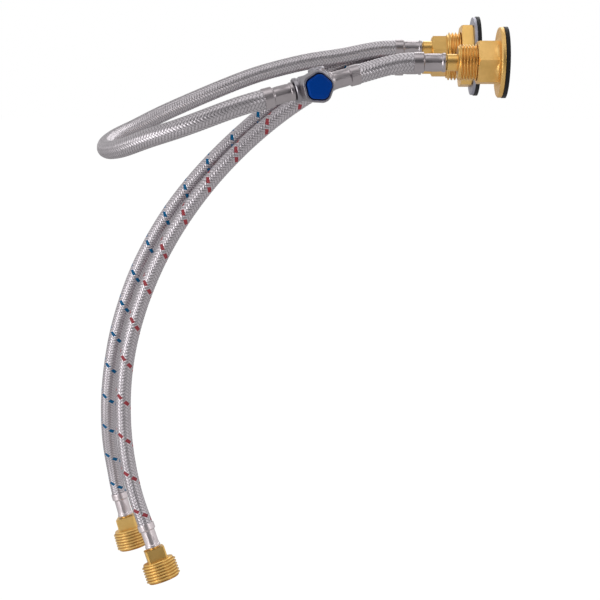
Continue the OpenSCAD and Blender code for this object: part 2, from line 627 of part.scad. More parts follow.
// A five-sided prism with its corners turned down to a circle
module five_bar(across, corner_d, z, h) intersection() {
  rotate([0, 0, five_turn]) translate([0, 0, z]) cylinder(r = across / 2 / cos(36), h = h, $fn = 5);
  disc(corner_d / 2, z, h);
}
module bonnet() color(plated) at_bonnet() difference() {
  union() {
    five_bar(bonnet_across, bonnet_corner_d, bonnet_base, bonnet_top - bonnet_base - 0.6);
    five_bar(bonnet_across - 0.8, bonnet_corner_d - 0.8, bonnet_base, bonnet_top - bonnet_base);
  }
  disc(neck_out_r + fit_gap, 0, neck_top + fit_gap);
  disc(spring_room_r, 0, bonnet_deck);
  disc(spindle_r + run_gap, 0, bonnet_top + 1);
  five_bar(cap_across + 2 * cap_gap, cap_corner_d + 2 * cap_gap, bonnet_deck + deck_t, cap_recess + 1);
}
module bonnet_seal() color(rubber) at_bonnet() difference() {
  five_bar(cap_across + 2 * cap_gap - 2 * fit_gap, cap_corner_d + 2 * cap_gap - 2 * fit_gap,
    bonnet_deck + deck_t, dust_t);
  disc(hub_r + free_gap, 0, bonnet_top);
}
module cover_cap() color(blue) at_bonnet() {
  five_bar(cap_across, cap_corner_d, cap_base, cap_top - cap_base - 0.5);
  five_bar(cap_across - 1, cap_corner_d - 1, cap_base, cap_top - cap_base);
  ring(hub_r, spindle_r + free_gap, bonnet_deck + deck_t + face_gap,
    cap_base - bonnet_deck - deck_t);
}
module port_plug() color(plated) at_regulator() translate([lug_x, 0, 0]) difference() {
  disc(plug_r, plug_base, lug_top + 0.3 - plug_base);
  translate([0, 0, lug_top - 1.5]) cylinder(r = 1.4, h = 3, $fn = 6);
}

mixer_shank();
tail_block();
block_seal();
mixer_lock_nut();
mixer_washer();
mixer_seal_ring();
cold_hose_tail();
hot_hose_tail();
mixed_hose_tail();
outlet_shank();
outlet_flange_nut();
outlet_seal_ring();
outlet_hose_tail();
tail_o_rings();
cold_top_ferrule();
hot_top_ferrule();
mixed_top_ferrule();
outlet_ferrule();
regulator_inlet_ferrule();
regulator_outlet_ferrule();
cold_bottom_ferrule();
hot_bottom_ferrule();
cold_hose();
hot_hose();
mixed_hose();
outlet_hose();
cold_inlet_connector();
hot_inlet_connector();
regulator_body();
inlet_strainer();
valve_seat();
piston();
piston_seal();
poppet();
poppet_seal();
regulating_spring();
spring_plate();
adjusting_spindle();
bonnet();
bonnet_seal();
cover_cap();
port_plug();
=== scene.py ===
"""Looks of the panel water fitting set: braided hoses, brass fittings and the plated pressure regulator.

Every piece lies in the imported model's own frame, in metres: +X points out of the panel, +Y goes back, +Z is up.
"""

import functools
import logging
import math
from dataclasses import dataclass
from enum import Enum
from typing import Callable, Sequence

import bpy
import numpy as np
from bpy.types import Material, MeshEdge, MeshVertex, Node, NodeSocket, NodeTree, Object
from mathutils import Matrix, Vector


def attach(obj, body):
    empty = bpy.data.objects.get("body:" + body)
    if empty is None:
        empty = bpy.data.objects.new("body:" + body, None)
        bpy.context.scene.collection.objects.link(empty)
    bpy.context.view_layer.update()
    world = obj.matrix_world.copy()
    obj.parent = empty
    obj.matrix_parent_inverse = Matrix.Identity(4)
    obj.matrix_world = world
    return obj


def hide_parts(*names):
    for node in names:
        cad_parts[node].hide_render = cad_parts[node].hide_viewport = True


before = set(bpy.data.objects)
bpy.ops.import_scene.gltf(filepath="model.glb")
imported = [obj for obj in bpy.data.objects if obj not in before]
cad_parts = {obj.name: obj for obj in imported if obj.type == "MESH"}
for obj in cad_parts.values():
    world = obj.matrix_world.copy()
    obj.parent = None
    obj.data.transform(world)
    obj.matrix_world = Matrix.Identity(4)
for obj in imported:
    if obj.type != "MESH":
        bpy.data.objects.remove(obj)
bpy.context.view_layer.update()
LOG = logging.getLogger("fitting_set")
MM = 0.001

Point = tuple[float, float, float]
Colour = tuple[float, float, float]
Pair = tuple[float, float]


class Body(Enum):
    """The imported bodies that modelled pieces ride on."""

    FITTINGS = "fittings"
    CAP = "cap"


class Fleck(Enum):
    """The coloured carrier that marks a hose."""

    NONE = "none"
    BLUE = "blue"
    RED = "red"


def placed_at(point: Point, turn: Point) -> Matrix:
    """Frame that the part's source makes with translate(point) rotate(turn).

    Args:
        point: The frame's origin in millimetres.
        turn: Turns about X, Y and Z in degrees, made in that order.

    Returns:
        The 4 by 4 matrix to the part's frame, in metres.
    """
    roll, rise, heading = (Matrix.Rotation(math.radians(a), 4, axis) for a, axis in zip(turn, "XYZ"))
    return Matrix.Translation(Vector(point) * MM) @ (heading @ rise @ roll)


@dataclass(frozen=True)
class HoseEnd:
    """A seat that a hose leaves along the +Z of its place, with the ferrule's start above it in millimetres."""

    place: Matrix
    start: float
    ferrule_len: float = 18.5
    bell_depth: float = 4.6

    def along(self, z: float) -> Vector:
        """Point on the end's axis at height z in millimetres, in metres."""
        return self.place @ Vector((0.0, 0.0, z * MM))

    def mouth(self) -> float:
        """Height of the ferrule's mouth above the seat in millimetres."""
        return self.start + self.ferrule_len


@dataclass(frozen=True)
class SetSizes:
    """Sizes of the set that the part's source gives, in millimetres and degrees."""

    # Shank recess, nine pitches of the mixer thread, run-out and block.
    block_face: float = 0.6 + 9 * 2.309 + 1 + 10.6
    # Bell of a ferrule and room to the next, three on a circle.
    tail_circle_r: float = (12 + 1.16) / math.sqrt(3)
    # Shank recess, fifteen pitches of the outlet thread and run-out.
    outlet_face: float = 0.6 + 15 * 1.814 + 0.8
    fitting_spacing: float = 150.0
    # Collar of a tail and gap.
    tail_start: float = 6.5 + 0.6
    tail_turn: Point = (0.0, -90.0, 0.0)
    regulator: Point = (-114.7, -160.9, -13.6)
    regulator_turn: Point = (-1.6, -13.6, 16.0)
    regulator_reach: float = 10.6
    regulator_gap: float = 0.6
    connector_gap: float = 1.2
    cold_place: Point = (-265.0, 19.8, -359.5)
    cold_turn: Point = (-9.0, -16.0, 0.0)
    hot_place: Point = (-237.7, -17.9, -369.5)
    hot_turn: Point = (-12.0, -20.0, 0.0)

    def tail(self, angle: float) -> HoseEnd:
        """Hose end on the mixer block at an angle about its axis, in degrees."""
        a = math.radians(angle)
        seat = (-self.block_face, self.tail_circle_r * math.cos(a), self.tail_circle_r * math.sin(a))
        return HoseEnd(placed_at(seat, self.tail_turn), self.tail_start)

    def outlet(self) -> HoseEnd:
        """Hose end on the outlet shank."""
        seat = (-self.outlet_face, -self.fitting_spacing, 0.0)
        return HoseEnd(placed_at(seat, self.tail_turn), self.tail_start)

    def regulator_frame(self) -> Matrix:
        """Matrix of the regulator's own frame, its run along +X and its bonnet along -Y."""
        return placed_at(self.regulator, self.regulator_turn)

    def regulator_end(self, side: int) -> HoseEnd:
        """Hose end on the regulator's run, at its inlet (-1) or its outlet (1)."""
        reach = Matrix.Translation((side * self.regulator_reach * MM, 0.0, 0.0))
        turn = Matrix.Rotation(math.radians(90.0 * side), 4, "Y")
        return HoseEnd(self.regulator_frame() @ reach @ turn, self.regulator_gap)

    def cold(self) -> HoseEnd:
        """Hose end on the cold inlet connector."""
        return HoseEnd(placed_at(self.cold_place, self.cold_turn), self.connector_gap)

    def hot(self) -> HoseEnd:
        """Hose end on the hot inlet connector."""
        return HoseEnd(placed_at(self.hot_place, self.hot_turn), self.connector_gap)


SIZES = SetSizes()
REG_INLET, REG_OUTLET = SIZES.regulator_end(-1), SIZES.regulator_end(1)
MIXED_ANGLE, HOT_ANGLE, COLD_ANGLE = 132.0, 252.0, 372.0

# The braid: carriers round a hose, carriers that a float passes over, and a float's least height and rise.
CARRIERS, FLOAT = 12, 2
FLOAT_LEVEL, FLOAT_RISE = 0.4, 0.6

# Centrelines of the hoses between their ends, in millimetres.
COLD_ROUTE: list[Point] = [
    (-72.6, 7.5, 0.7), (-96.2, 7.8, -6.1), (-118.2, 8.2, -17.1), (-138.8, 8.6, -30.6), (-158.3, 9.1, -45.7),
    (-176.8, 9.5, -61.9), (-194.3, 9.9, -79.2), (-210.6, 10.3, -97.7), (-225.3, 10.6, -117.3), (-238.1, 11, -138.1),
    (-249.2, 11.4, -159.9), (-258.2, 11.8, -182.6), (-265.5, 12.5, -206), (-270.7, 13.6, -229.9),
    (-274.3, 15.5, -254.2), (-276, 18.4, -278.6), (-275.8, 22.1, -302.9), (-273, 24.1, -327.2),
]
HOT_ROUTE: list[Point] = [
    (-72.6, -2.3, -8.3), (-95.8, -2.1, -15.2), (-117.5, -2, -26.1), (-137.7, -1.8, -39.5), (-156.8, -1.7, -54.7),
    (-174.5, -1.6, -71.2), (-191, -1.4, -89.1), (-206, -1.3, -108.2), (-219.6, -1.3, -128.5),
    (-231.4, -1.3, -149.8), (-241.4, -1.3, -172.1), (-249.5, -1.6, -195.1), (-255.5, -2, -218.7),
    (-259.1, -2.7, -242.7), (-260.2, -3.9, -266.9), (-259, -5.6, -291.1), (-255.3, -8, -315.1),
    (-249.1, -11.3, -338.4),
]
MIXED_ROUTE: list[Point] = [
    (-74.5, -4.7, 4.4), (-94.8, -3.9, 0.3), (-115.3, -3.1, -2.7), (-135.6, -3, -7), (-155.6, -4.4, -12.4),
    (-174.9, -7.9, -19.3), (-193.3, -14, -26.7), (-210.4, -23.2, -33.9), (-225.4, -35.7, -40.7),
    (-237.3, -51.6, -46.8), (-245.5, -70.2, -50.7), (-248.6, -90.5, -53.5), (-246.3, -111.2, -54.9),
    (-239, -130.6, -54), (-227.3, -147.4, -50.4), (-212.2, -160.3, -44.4), (-194.3, -168.7, -38.3),
    (-175.2, -172.3, -31.3), (-155.7, -171.5, -24.3),
]
OUTLET_ROUTE: list[Point] = [
    (-64.4, -150, -0.9), (-70.9, -150.3, -2.3), (-77.3, -150.9, -4),
]


def rgba(colour: Colour) -> tuple[float, float, float, float]:
    """A colour with full alpha."""
    return (*colour, 1.0)


def grey(level: float) -> Colour:
    """A grey of a level."""
    return (level, level, level)


class Sheet:
    """A material's or a group's node tree with short calls to add and join nodes."""

    def __init__(self, tree: NodeTree) -> None:
        """Keeps the tree that nodes are added to."""
        self.tree = tree

    def first(self, kind: str) -> Node:
        """The tree's first node of a type."""
        return next(n for n in self.tree.nodes if n.type == kind)

    def add(self, kind: str, inputs: dict | None = None, **props: object) -> Node:
        """Adds a node, sets its properties, and sets or joins its inputs.

        Args:
            kind: Node type without the leading ShaderNode.
            inputs: Socket name or index to a value, or to a socket that feeds it.
            props: Properties of the node.

        Returns:
            The new node.
        """
        node = self.tree.nodes.new(kind if kind.startswith("Node") else "ShaderNode" + kind)
        for name, value in props.items():
            setattr(node, name, value)
        self.feed(node, inputs or {})
        return node

    def feed(self, node: Node, inputs: dict) -> None:
        """Joins sockets to a node's inputs, or sets the inputs' own values.

        Args:
            node: The node.
            inputs: Socket name or index to a value, or to a socket that feeds it.
        """
        for key, value in inputs.items():
            if isinstance(value, NodeSocket):
                self.tree.links.new(value, node.inputs[key])
            else:
                node.inputs[key].default_value = value

    def math(self, operation: str, *values: object) -> NodeSocket:
        """Adds a Math node on up to three values and returns its result."""
        return self.add("Math", dict(enumerate(values)), operation=operation).outputs[0]

    def times(self, a: object, b: object) -> NodeSocket:
        """Product of two numbers."""
        return self.math("MULTIPLY", a, b)

    def plus(self, a: object, b: object) -> NodeSocket:
        """Sum of two numbers."""
        return self.math("ADD", a, b)

    def minus(self, a: object, b: object) -> NodeSocket:
        """Difference of two numbers."""
        return self.math("SUBTRACT", a, b)

    def blend(self, share: object, a: object, b: object) -> NodeSocket:
        """A share, from 0 to 1, of one number and the rest of another."""
        return self.plus(self.times(a, share), self.times(b, self.minus(1.0, share)))

    def is_ray(self, *kinds: str) -> NodeSocket:
        """Whether a ray is of one of the kinds named."""
        path = self.add("LightPath")
        return functools.reduce(lambda a, b: self.math("MAXIMUM", a, b), (path.outputs[f"Is {k} Ray"] for k in kinds))

    def vector(self, operation: str, a: object, b: object, result: str = "Vector") -> NodeSocket:
        """Adds a Vector Math node on two vectors and returns its vector, or the result named."""
        return self.add("VectorMath", {0: a, 1: b}, operation=operation).outputs[result]

    def scaled(self, vector: object, factor: object) -> NodeSocket:
        """A vector times a number."""
        return self.add("VectorMath", {0: vector, "Scale": factor}, operation="SCALE").outputs[0]

    def mix(self, factor: object, low: object, high: object) -> NodeSocket:
        """Mixes two colours by a factor and returns the colour."""
        return self.add("Mix", {0: factor, 6: low, 7: high}, data_type="RGBA").outputs[2]

    def span(self, value: object, low: float, high: float) -> NodeSocket:
        """Maps 0 to 1 onto low to high and returns the number."""
        return self.add("MapRange", {0: value, 3: low, 4: high}).outputs[0]

    def ease(self, value: object, start: float, end: float, low: float, high: float) -> NodeSocket:
        """Maps start to end onto low to high with soft ends and returns the number."""
        inputs = dict(enumerate((value, start, end, low, high)))
        return self.add("MapRange", inputs, interpolation_type="SMOOTHSTEP").outputs[0]

    def ramp(self, value: object, *stops: tuple[float, Colour]) -> NodeSocket:
        """Adds a colour ramp.

        Args:
            value: Number from 0 to 1.
            stops: Place and colour of each stop, in order.

        Returns:
            The colour.
        """
        node = self.add("ValToRGB", {0: value})
        elements = node.color_ramp.elements
        for element, (place, colour) in zip(elements, (stops[0], stops[-1])):
            element.position, element.color = place, rgba(colour)
        for place, colour in stops[1:-1]:
            elements.new(place).color = rgba(colour)
        return node.outputs[0]

    def bump(self, height: NodeSocket, strength: float, depth: float, normal: NodeSocket | None = None) -> NodeSocket:
        """Lays a height in metres of depth on the surface, or on a normal, and returns the normal."""
        under = {"Normal": normal} if normal else {}
        return self.add("Bump", {"Height": height, "Strength": strength, "Distance": depth, **under}).outputs[0]


class Groups:
    """Shader node groups that several finishes share, each built once."""

    def __init__(self) -> None:
        """Builds the groups."""
        self.patina = self._patina()
        self.braid = self._braid()

    @staticmethod
    def _new(
        name: str, vectors: Sequence[str], numbers: dict[str, float], outputs: Sequence[str]
    ) -> tuple[Sheet, list[NodeSocket], Node]:
        """Makes an empty group.

        Args:
            name: Name of the group.
            vectors: Names of its vector inputs.
            numbers: Its other inputs, with their defaults.
            outputs: Names of its outputs, all numbers.

        Returns:
            The group's sheet, its inputs in order and its output node.
        """
        sheet = Sheet(bpy.data.node_groups.new(name, "ShaderNodeTree"))
        new = sheet.tree.interface.new_socket
        for label in vectors:
            new(label, in_out="INPUT", socket_type="NodeSocketVector")
        for label, default in numbers.items():
            new(label, in_out="INPUT", socket_type="NodeSocketFloat").default_value = default
        for label in outputs:
            new(label, in_out="OUTPUT", socket_type="NodeSocketFloat")
        return sheet, sheet.add("NodeGroupInput").outputs[:-1], sheet.add("NodeGroupOutput")

    def _patina(self) -> NodeTree:
        """Cloudy variation, fine speckle and turning marks of a worked surface."""
        sheet, (place, across, mark_scale), gout = self._new(
            "worked_surface", ["Place", "Across"], {"Mark Scale": 900.0}, ["Cloud", "Speckle", "Marks"]
        )
        for output, vector, scale, detail, rough in (
            ("Cloud", place, 85.0, 5.0, 0.6),
            ("Speckle", place, 1500.0, 3.0, 0.7),
            ("Marks", across, mark_scale, 4.0, 0.75),
        ):
            noise = sheet.add("TexNoise", {"Vector": vector, "Scale": scale, "Detail": detail, "Roughness": rough})
            sheet.feed(gout, {output: noise.outputs[0]})
        return sheet.tree

    def _braid(self) -> NodeTree:
        """Two by two braid of wire carriers on a tube's own map, with a mask of painted shade in the gaps where the
        floats are low.
        """
        sheet, (spot, carriers, pitch, wires), gout = self._new(
            "wire_braid",
            ["Map"],
            {"Carriers": CARRIERS, "Pitch": 0.0022, "Wires": 5.0},
            ["Height", "Gap", "Fleck", "Wire", "Shade"],
        )
        repeat, off_edge, gap_shade_gain = 2.0 * FLOAT, 0.25, 1.7
        mark_spread, float_spread = 0.22, 0.2

        def swell(value: NodeSocket, angle: float) -> NodeSocket:
            """A round height over a stretch of which a unit turns by an angle."""
            return sheet.math("POWER", sheet.math("SINE", sheet.times(value, angle)), 0.5)

        def within(value: NodeSocket, period: object, width: float, spread: float) -> NodeSocket:
            """Whether a value lies in the first part of its period, spread at both ends."""
            inside = sheet.math("FLOORED_MODULO", sheet.plus(value, spread), period)
            return sheet.math("LESS_THAN", inside, width + 2 * spread)

        split = sheet.add("SeparateXYZ", {0: spot})
        around = sheet.times(split.outputs[0], carriers)
        length = sheet.math("DIVIDE", split.outputs[1], pitch)
        right, left = sheet.plus(around, length), sheet.minus(around, length)
        right_no, left_no = sheet.math("FLOOR", right), sheet.math("FLOOR", left)
        right_in, left_in = sheet.math("FRACT", right), sheet.math("FRACT", left)
        cell = sheet.math("FLOORED_MODULO", sheet.plus(sheet.plus(right_no, left_no), off_edge), repeat)
        cell_no = sheet.math("FLOOR", cell)
        on_top = sheet.math("LESS_THAN", cell, FLOAT)
        inside = sheet.blend(on_top, right_in, left_in)
        along = sheet.blend(on_top, sheet.plus(cell_no, left_in), sheet.plus(sheet.minus(cell_no, FLOAT), right_in))
        rise = sheet.plus(sheet.times(swell(along, math.pi / FLOAT), FLOAT_RISE), FLOAT_LEVEL)
        hump = sheet.times(swell(inside, math.pi), rise)
        wire_in = sheet.math("FRACT", sheet.times(inside, wires))
        marked = within(right, carriers, 1.0, mark_spread)
        floats = within(left, repeat, FLOAT, float_spread)
        shade = sheet.add("TexWhiteNoise", {"Vector": sheet.add("CombineXYZ", {0: right_no, 1: left_no}).outputs[0]})
        sheet.feed(
            gout,
            {
                "Height": hump,
                # Painted shade in the gaps between floats, where the hump is low.
                "Gap": sheet.minus(1.0, sheet.math("MINIMUM", sheet.times(hump, gap_shade_gain), 1.0)),
                "Fleck": sheet.times(marked, floats),
                "Wire": sheet.math("SINE", sheet.times(wire_in, math.pi)),
                "Shade": shade.outputs["Value"],
            },
        )
        return sheet.tree


@dataclass(frozen=True)
class Finish:
    """A finish of the set; each kind builds its own material."""

    name: str
    slot: str

    def start(self) -> tuple[Material, Sheet, Node, Node]:
        """Makes an empty material.

        Returns:
            The material, its sheet, its shader and its coordinate node.
        """
        material = bpy.data.materials.new(self.name)
        material.use_nodes = True
        sheet = Sheet(material.node_tree)
        return material, sheet, sheet.first("BSDF_PRINCIPLED"), sheet.add("TexCoord")


@dataclass(frozen=True)
class ThreadLook:
    """How the finish shows a connector's thread, with painted shade darkening its grooves, in metres from its seat and
    axis.
    """

    seat: HoseEnd
    start: float = 0.0105
    # Radii over which painted shade darkens the thread's grooves, and the colour of that painted shade.
    groove_shade_radii: Pair = (0.0119, 0.0128)
    groove_shade: Colour = (0.56, 0.27, 0.065)
    flank_lean: float = 0.45
    least_flank: float = 0.5
    least_outward: float = 0.2

    def shade(self, sheet: Sheet, place: NodeSocket) -> tuple[NodeSocket, NodeSocket]:
        """Rounds the faces of the thread about its axis and leaves the others as they are.

        Args:
            sheet: The material's nodes.
            place: Its object coordinates.

        Returns:
            The normal, and a mask of painted shade in the thread's grooves.
        """

        def dot(a: object, b: object) -> NodeSocket:
            """Product of two directions."""
            return sheet.vector("DOT_PRODUCT", a, b, "Value")

        seat = self.seat.place
        way = tuple(seat.to_3x3() @ Vector((0, 0, -1)))
        face = sheet.add("NewGeometry").outputs["True Normal"]
        out = sheet.vector("SUBTRACT", place, tuple(seat.translation))
        along = dot(out, way)
        reach = sheet.vector("SUBTRACT", out, sheet.scaled(way, along))
        ray = sheet.vector("NORMALIZE", reach, (0, 0, 0))
        lean = dot(face, way)
        flank = sheet.math("GREATER_THAN", sheet.math("ABSOLUTE", lean), self.least_flank)
        lift = sheet.times(flank, sheet.times(sheet.math("SIGN", lean), self.flank_lean))
        side = sheet.math("SQRT", sheet.minus(1.0, sheet.times(lift, lift)))
        turned = sheet.vector("ADD", sheet.scaled(ray, side), sheet.scaled(way, lift))
        below = sheet.math("GREATER_THAN", along, self.start)
        share = sheet.times(below, sheet.math("GREATER_THAN", dot(face, ray), self.least_outward))
        normal = sheet.vector("ADD", sheet.scaled(turned, share), sheet.scaled(face, sheet.minus(1.0, share)))
        # Painted shade: darkest at the thread's root radius, fading out towards the crest.
        root_shade = sheet.ease(sheet.math("SQRT", dot(reach, reach)), *self.groove_shade_radii, 1.0, 0.0)
        return normal, sheet.times(root_shade, share)


@dataclass(frozen=True)
class Worked(Finish):
    """A worked surface with soft edges, of bare, turned, cast or plated metal unless it says otherwise."""

    light: Colour
    dark: Colour
    smooth: float
    rough: float
    mark_axis: Point = (1.0, 0.0, 0.0)
    mark_turn: Point = (0.0, 0.0, 0.0)
    mark_scale: float = 2600.0
    mark_depth: float = 0.05
    speckle_depth: float = 0.05
    relief: float = 0.0002
    edge: float = 0.00028
    edge_samples: int = 4
    thread: ThreadLook | None = None
    metal: float = 1.0
    edge_tint: float = 0.75
    gloss: float = 0.5
    coat: float = 0.0
    tone_stops: Pair = (0.32, 0.62)
    cloud_share: float = 0.6

    def make(self, groups: Groups) -> Material:
        """Builds the material.

        Args:
            groups: The shared node groups.

        Returns:
            The finished material.
        """
        material, sheet, shader, coords = self.start()
        place = coords.outputs["Object"]
        turned = sheet.add("Mapping", {"Vector": place, "Rotation": [math.radians(a) for a in self.mark_turn]})
        across = sheet.add("Mapping", {"Vector": turned.outputs[0], "Scale": self.mark_axis})
        worked = sheet.add(
            "Group",
            {"Place": place, "Across": across.outputs[0], "Mark Scale": self.mark_scale},
            node_tree=groups.patina,
        )
        cloud, speckle, marks = worked.outputs[:3]
        dark_at, light_at = self.tone_stops
        tone = sheet.ramp(cloud, (dark_at, self.dark), (light_at, self.light))
        if self.thread:
            edge, groove_shade = self.thread.shade(sheet, place)
            # Painted shade in the thread's grooves darkens the brass.
            tone = sheet.mix(groove_shade, tone, rgba(self.thread.groove_shade))
        else:
            edge = sheet.add("Bevel", {"Radius": self.edge}, samples=self.edge_samples).outputs[0]
        grain = sheet.bump(speckle, self.speckle_depth, self.relief, edge)
        sheet.feed(
            shader,
            {
                "Base Color": tone,
                "Metallic": self.metal,
                "Specular Tint": rgba(grey(self.edge_tint)),
                "Specular IOR Level": self.gloss,
                "Coat Weight": self.coat,
                "Roughness": sheet.span(sheet.blend(self.cloud_share, cloud, marks), self.smooth, self.rough),
                "Normal": sheet.bump(marks, self.mark_depth, self.relief, grain),
            },
        )
        return material


@dataclass(frozen=True)
class Moulded(Worked):
    """Moulded rubber or plastic, which clouds vary evenly from dark to light and no tool has marked."""

    mark_depth: float = 0.0
    speckle_depth: float = 0.06
    edge: float = 0.0003
    metal: float = 0.0
    edge_tint: float = 1.0
    tone_stops: Pair = (0.0, 1.0)
    cloud_share: float = 1.0


@dataclass(frozen=True)
class Braid(Finish):
    """Braid of bright steel wire with painted light and shade: a lit tone on high floats, a shaded tone lower down and
    painted shade in the gaps, with a coloured carrier on marked hoses.
    """

    fleck: Fleck
    pitch: float
    # The painted lit tone of the wire on high floats and the painted shaded tone lower down.
    wire: Colour = (0.64, 0.60, 0.63)
    shaded: Colour = (0.40, 0.375, 0.392)
    # Near-black painted shade in the gaps between floats.
    gap: Colour = (0.045, 0.04, 0.042)
    blue: Colour = (0.0, 0.13, 0.31)
    red: Colour = (0.40, 0.06, 0.075)
    # Share of float height, against a random tone per cell, in choosing between the painted lit and shaded tones.
    height_shade_share: float = 0.7
    # Share of the painted gap shade that the marked carrier takes.
    mark_gap_shade: float = 0.45
    mark_gloss: float = 0.15
    steel_gloss: float = 0.5
    edge_tint: float = 0.85
    gap_rough: float = 0.44
    wire_rough: float = 0.32
    wire_bump: Pair = (0.4, 0.00006)
    float_bump: Pair = (0.3, 0.0003)

    def mark(self) -> Colour:
        """Colour of the marked carrier."""
        return self.blue if self.fleck is Fleck.BLUE else self.red

    def make(self, groups: Groups) -> Material:
        """Builds the material.

        Args:
            groups: The shared node groups.

        Returns:
            The finished material.
        """
        material, sheet, shader, coords = self.start()
        weave = sheet.add("Group", {"Map": coords.outputs["UV"], "Pitch": self.pitch}, node_tree=groups.braid)
        height, gap, fleck, wire, shade = weave.outputs[:5]
        # Painted light and shade: the lit tone on high floats, the shaded tone lower down, with a random tone per cell.
        steel = sheet.mix(sheet.blend(self.height_shade_share, height, shade), rgba(self.shaded), rgba(self.wire))
        # Painted shade darkens the gaps between floats.
        surface, metal, gloss = sheet.mix(gap, steel, rgba(self.gap)), 1.0, self.steel_gloss
        if self.fleck is not Fleck.NONE:
            # The marked carrier takes part of the painted gap shade.
            thread = sheet.mix(sheet.times(gap, self.mark_gap_shade), rgba(self.mark()), rgba(self.gap))
            surface = sheet.mix(fleck, surface, thread)
            metal = sheet.span(fleck, 1.0, 0.0)
            gloss = sheet.span(fleck, self.steel_gloss, self.mark_gloss)
        fine = sheet.bump(wire, *self.wire_bump)
        sheet.feed(
            shader,
            {
                "Base Color": surface,
                "Metallic": metal,
                "Specular IOR Level": gloss,
                "Specular Tint": rgba(grey(self.edge_tint)),
                "Roughness": sheet.span(wire, self.gap_rough, self.wire_rough),
                "Normal": sheet.bump(height, *self.float_bump, fine),
            },
        )
        return material


@dataclass(frozen=True)
class Finishes:
    """All finishes of the set."""

    brass: Worked = Worked(
        "machined_brass", "brass", (0.95, 0.59, 0.195), (0.83, 0.51, 0.155), 0.26, 0.4, mark_depth=0.02, metal=0.9
    )
    turned_brass: Worked = Worked(
        "bright_turned_brass", "turned_brass", (0.95, 0.59, 0.195), (0.83, 0.51, 0.155), 0.28, 0.42,
        mark_depth=0.015, speckle_depth=0.09, metal=0.9,
    )
    cast_brass: Worked = Worked(
        "cast_grain_brass", "turned_brass", (0.95, 0.59, 0.205), (0.78, 0.475, 0.145), 0.3, 0.44,
        mark_depth=0.015, speckle_depth=0.6, metal=0.85,
    )
    # The cold connector's brass is lighter and less metallic than the hot one's, painted light to brighten that
    # connector.
    cold_brass_painted_lighter: Worked = Worked(
        "cold_connector_brass", "turned_brass", (0.96, 0.625, 0.21), (0.90, 0.575, 0.18), 0.32, 0.42,
        (0.0, 0.0, 1.0), (9.0, 16.0, 0.0), mark_depth=0.0, speckle_depth=0.0,
        thread=ThreadLook(SIZES.cold()), metal=0.62,
    )
    hot_brass: Worked = Worked(
        "hot_connector_brass", "turned_brass", (0.92, 0.58, 0.185), (0.84, 0.52, 0.155), 0.32, 0.42,
        (0.0, 0.0, 1.0), (12.0, 20.0, 0.0), mark_depth=0.0, speckle_depth=0.0,
        thread=ThreadLook(SIZES.hot()), metal=0.88,
    )
    ferrule: Worked = Worked(
        "crimped_sheet_steel", "crimped_steel", (0.50, 0.455, 0.472), (0.44, 0.40, 0.415), 0.26, 0.36,
        (0.06, 1.0, 1.0), mark_depth=0.02, speckle_depth=0.01,
    )
    # A lighter copy of the ferrule steel, painted light for the bottom ferrules that show brighter reflections.
    ferrule_painted_lighter: Worked = Worked(
        "bright_sheet_steel", "crimped_steel", (0.80, 0.72, 0.74), (0.70, 0.63, 0.648), 0.3, 0.42,
        (0.06, 1.0, 1.0), mark_depth=0.02, speckle_depth=0.01,
    )
    plated: Worked = Worked(
        "satin_nickel_plate", "plated_brass", (0.40, 0.378, 0.408), (0.32, 0.302, 0.326), 0.3, 0.42,
        mark_depth=0.015, speckle_depth=0.02,
    )
    zinc: Worked = Worked(
        "dull_zinc", "zinc_steel", (0.46, 0.455, 0.52), (0.34, 0.335, 0.39), 0.34, 0.55, speckle_depth=0.15
    )
    stainless: Worked = Worked("stainless_wire", "stainless_steel", grey(0.62), grey(0.5), 0.2, 0.35)
    rubber: Moulded = Moulded(
        "black_seal_rubber", "black_rubber", (0.010, 0.010, 0.012), (0.004, 0.004, 0.005), 0.5, 0.7, gloss=0.3
    )
    blue: Moulded = Moulded(
        "blue_cap_plastic", "blue_plastic", (0.0, 0.056, 0.355), (0.0, 0.047, 0.31), 0.42, 0.54,
        gloss=0.04, coat=0.04, edge=0.0006,
    )
    plain_braid: Braid = Braid("plain_wire_braid", "braid_plain", Fleck.NONE, 0.0021)
    # The marked braids' steel tones are painted lighter than the plain braid's, standing in for the brighter light on
    # the lower hoses.
    blue_braid: Braid = Braid(
        "blue_marked_braid", "braid_blue_flecks", Fleck.BLUE, 0.0021, (0.68, 0.635, 0.67), (0.47, 0.437, 0.46)
    )
    red_braid: Braid = Braid(
        "red_marked_braid", "braid_red_flecks", Fleck.RED, 0.0025, (0.68, 0.635, 0.67), (0.47, 0.437, 0.46)
    )

    def make(self) -> dict[str, Material]:
        """Builds every material once and returns them by finish name."""
        groups = Groups()
        return {finish.name: finish.make(groups) for finish in vars(self).values()}


class Part(Enum):
    """What operators select, with the mesh's own list of them."""

    VERT = "vertices"
    EDGE = "edges"
    FACE = "polygons"


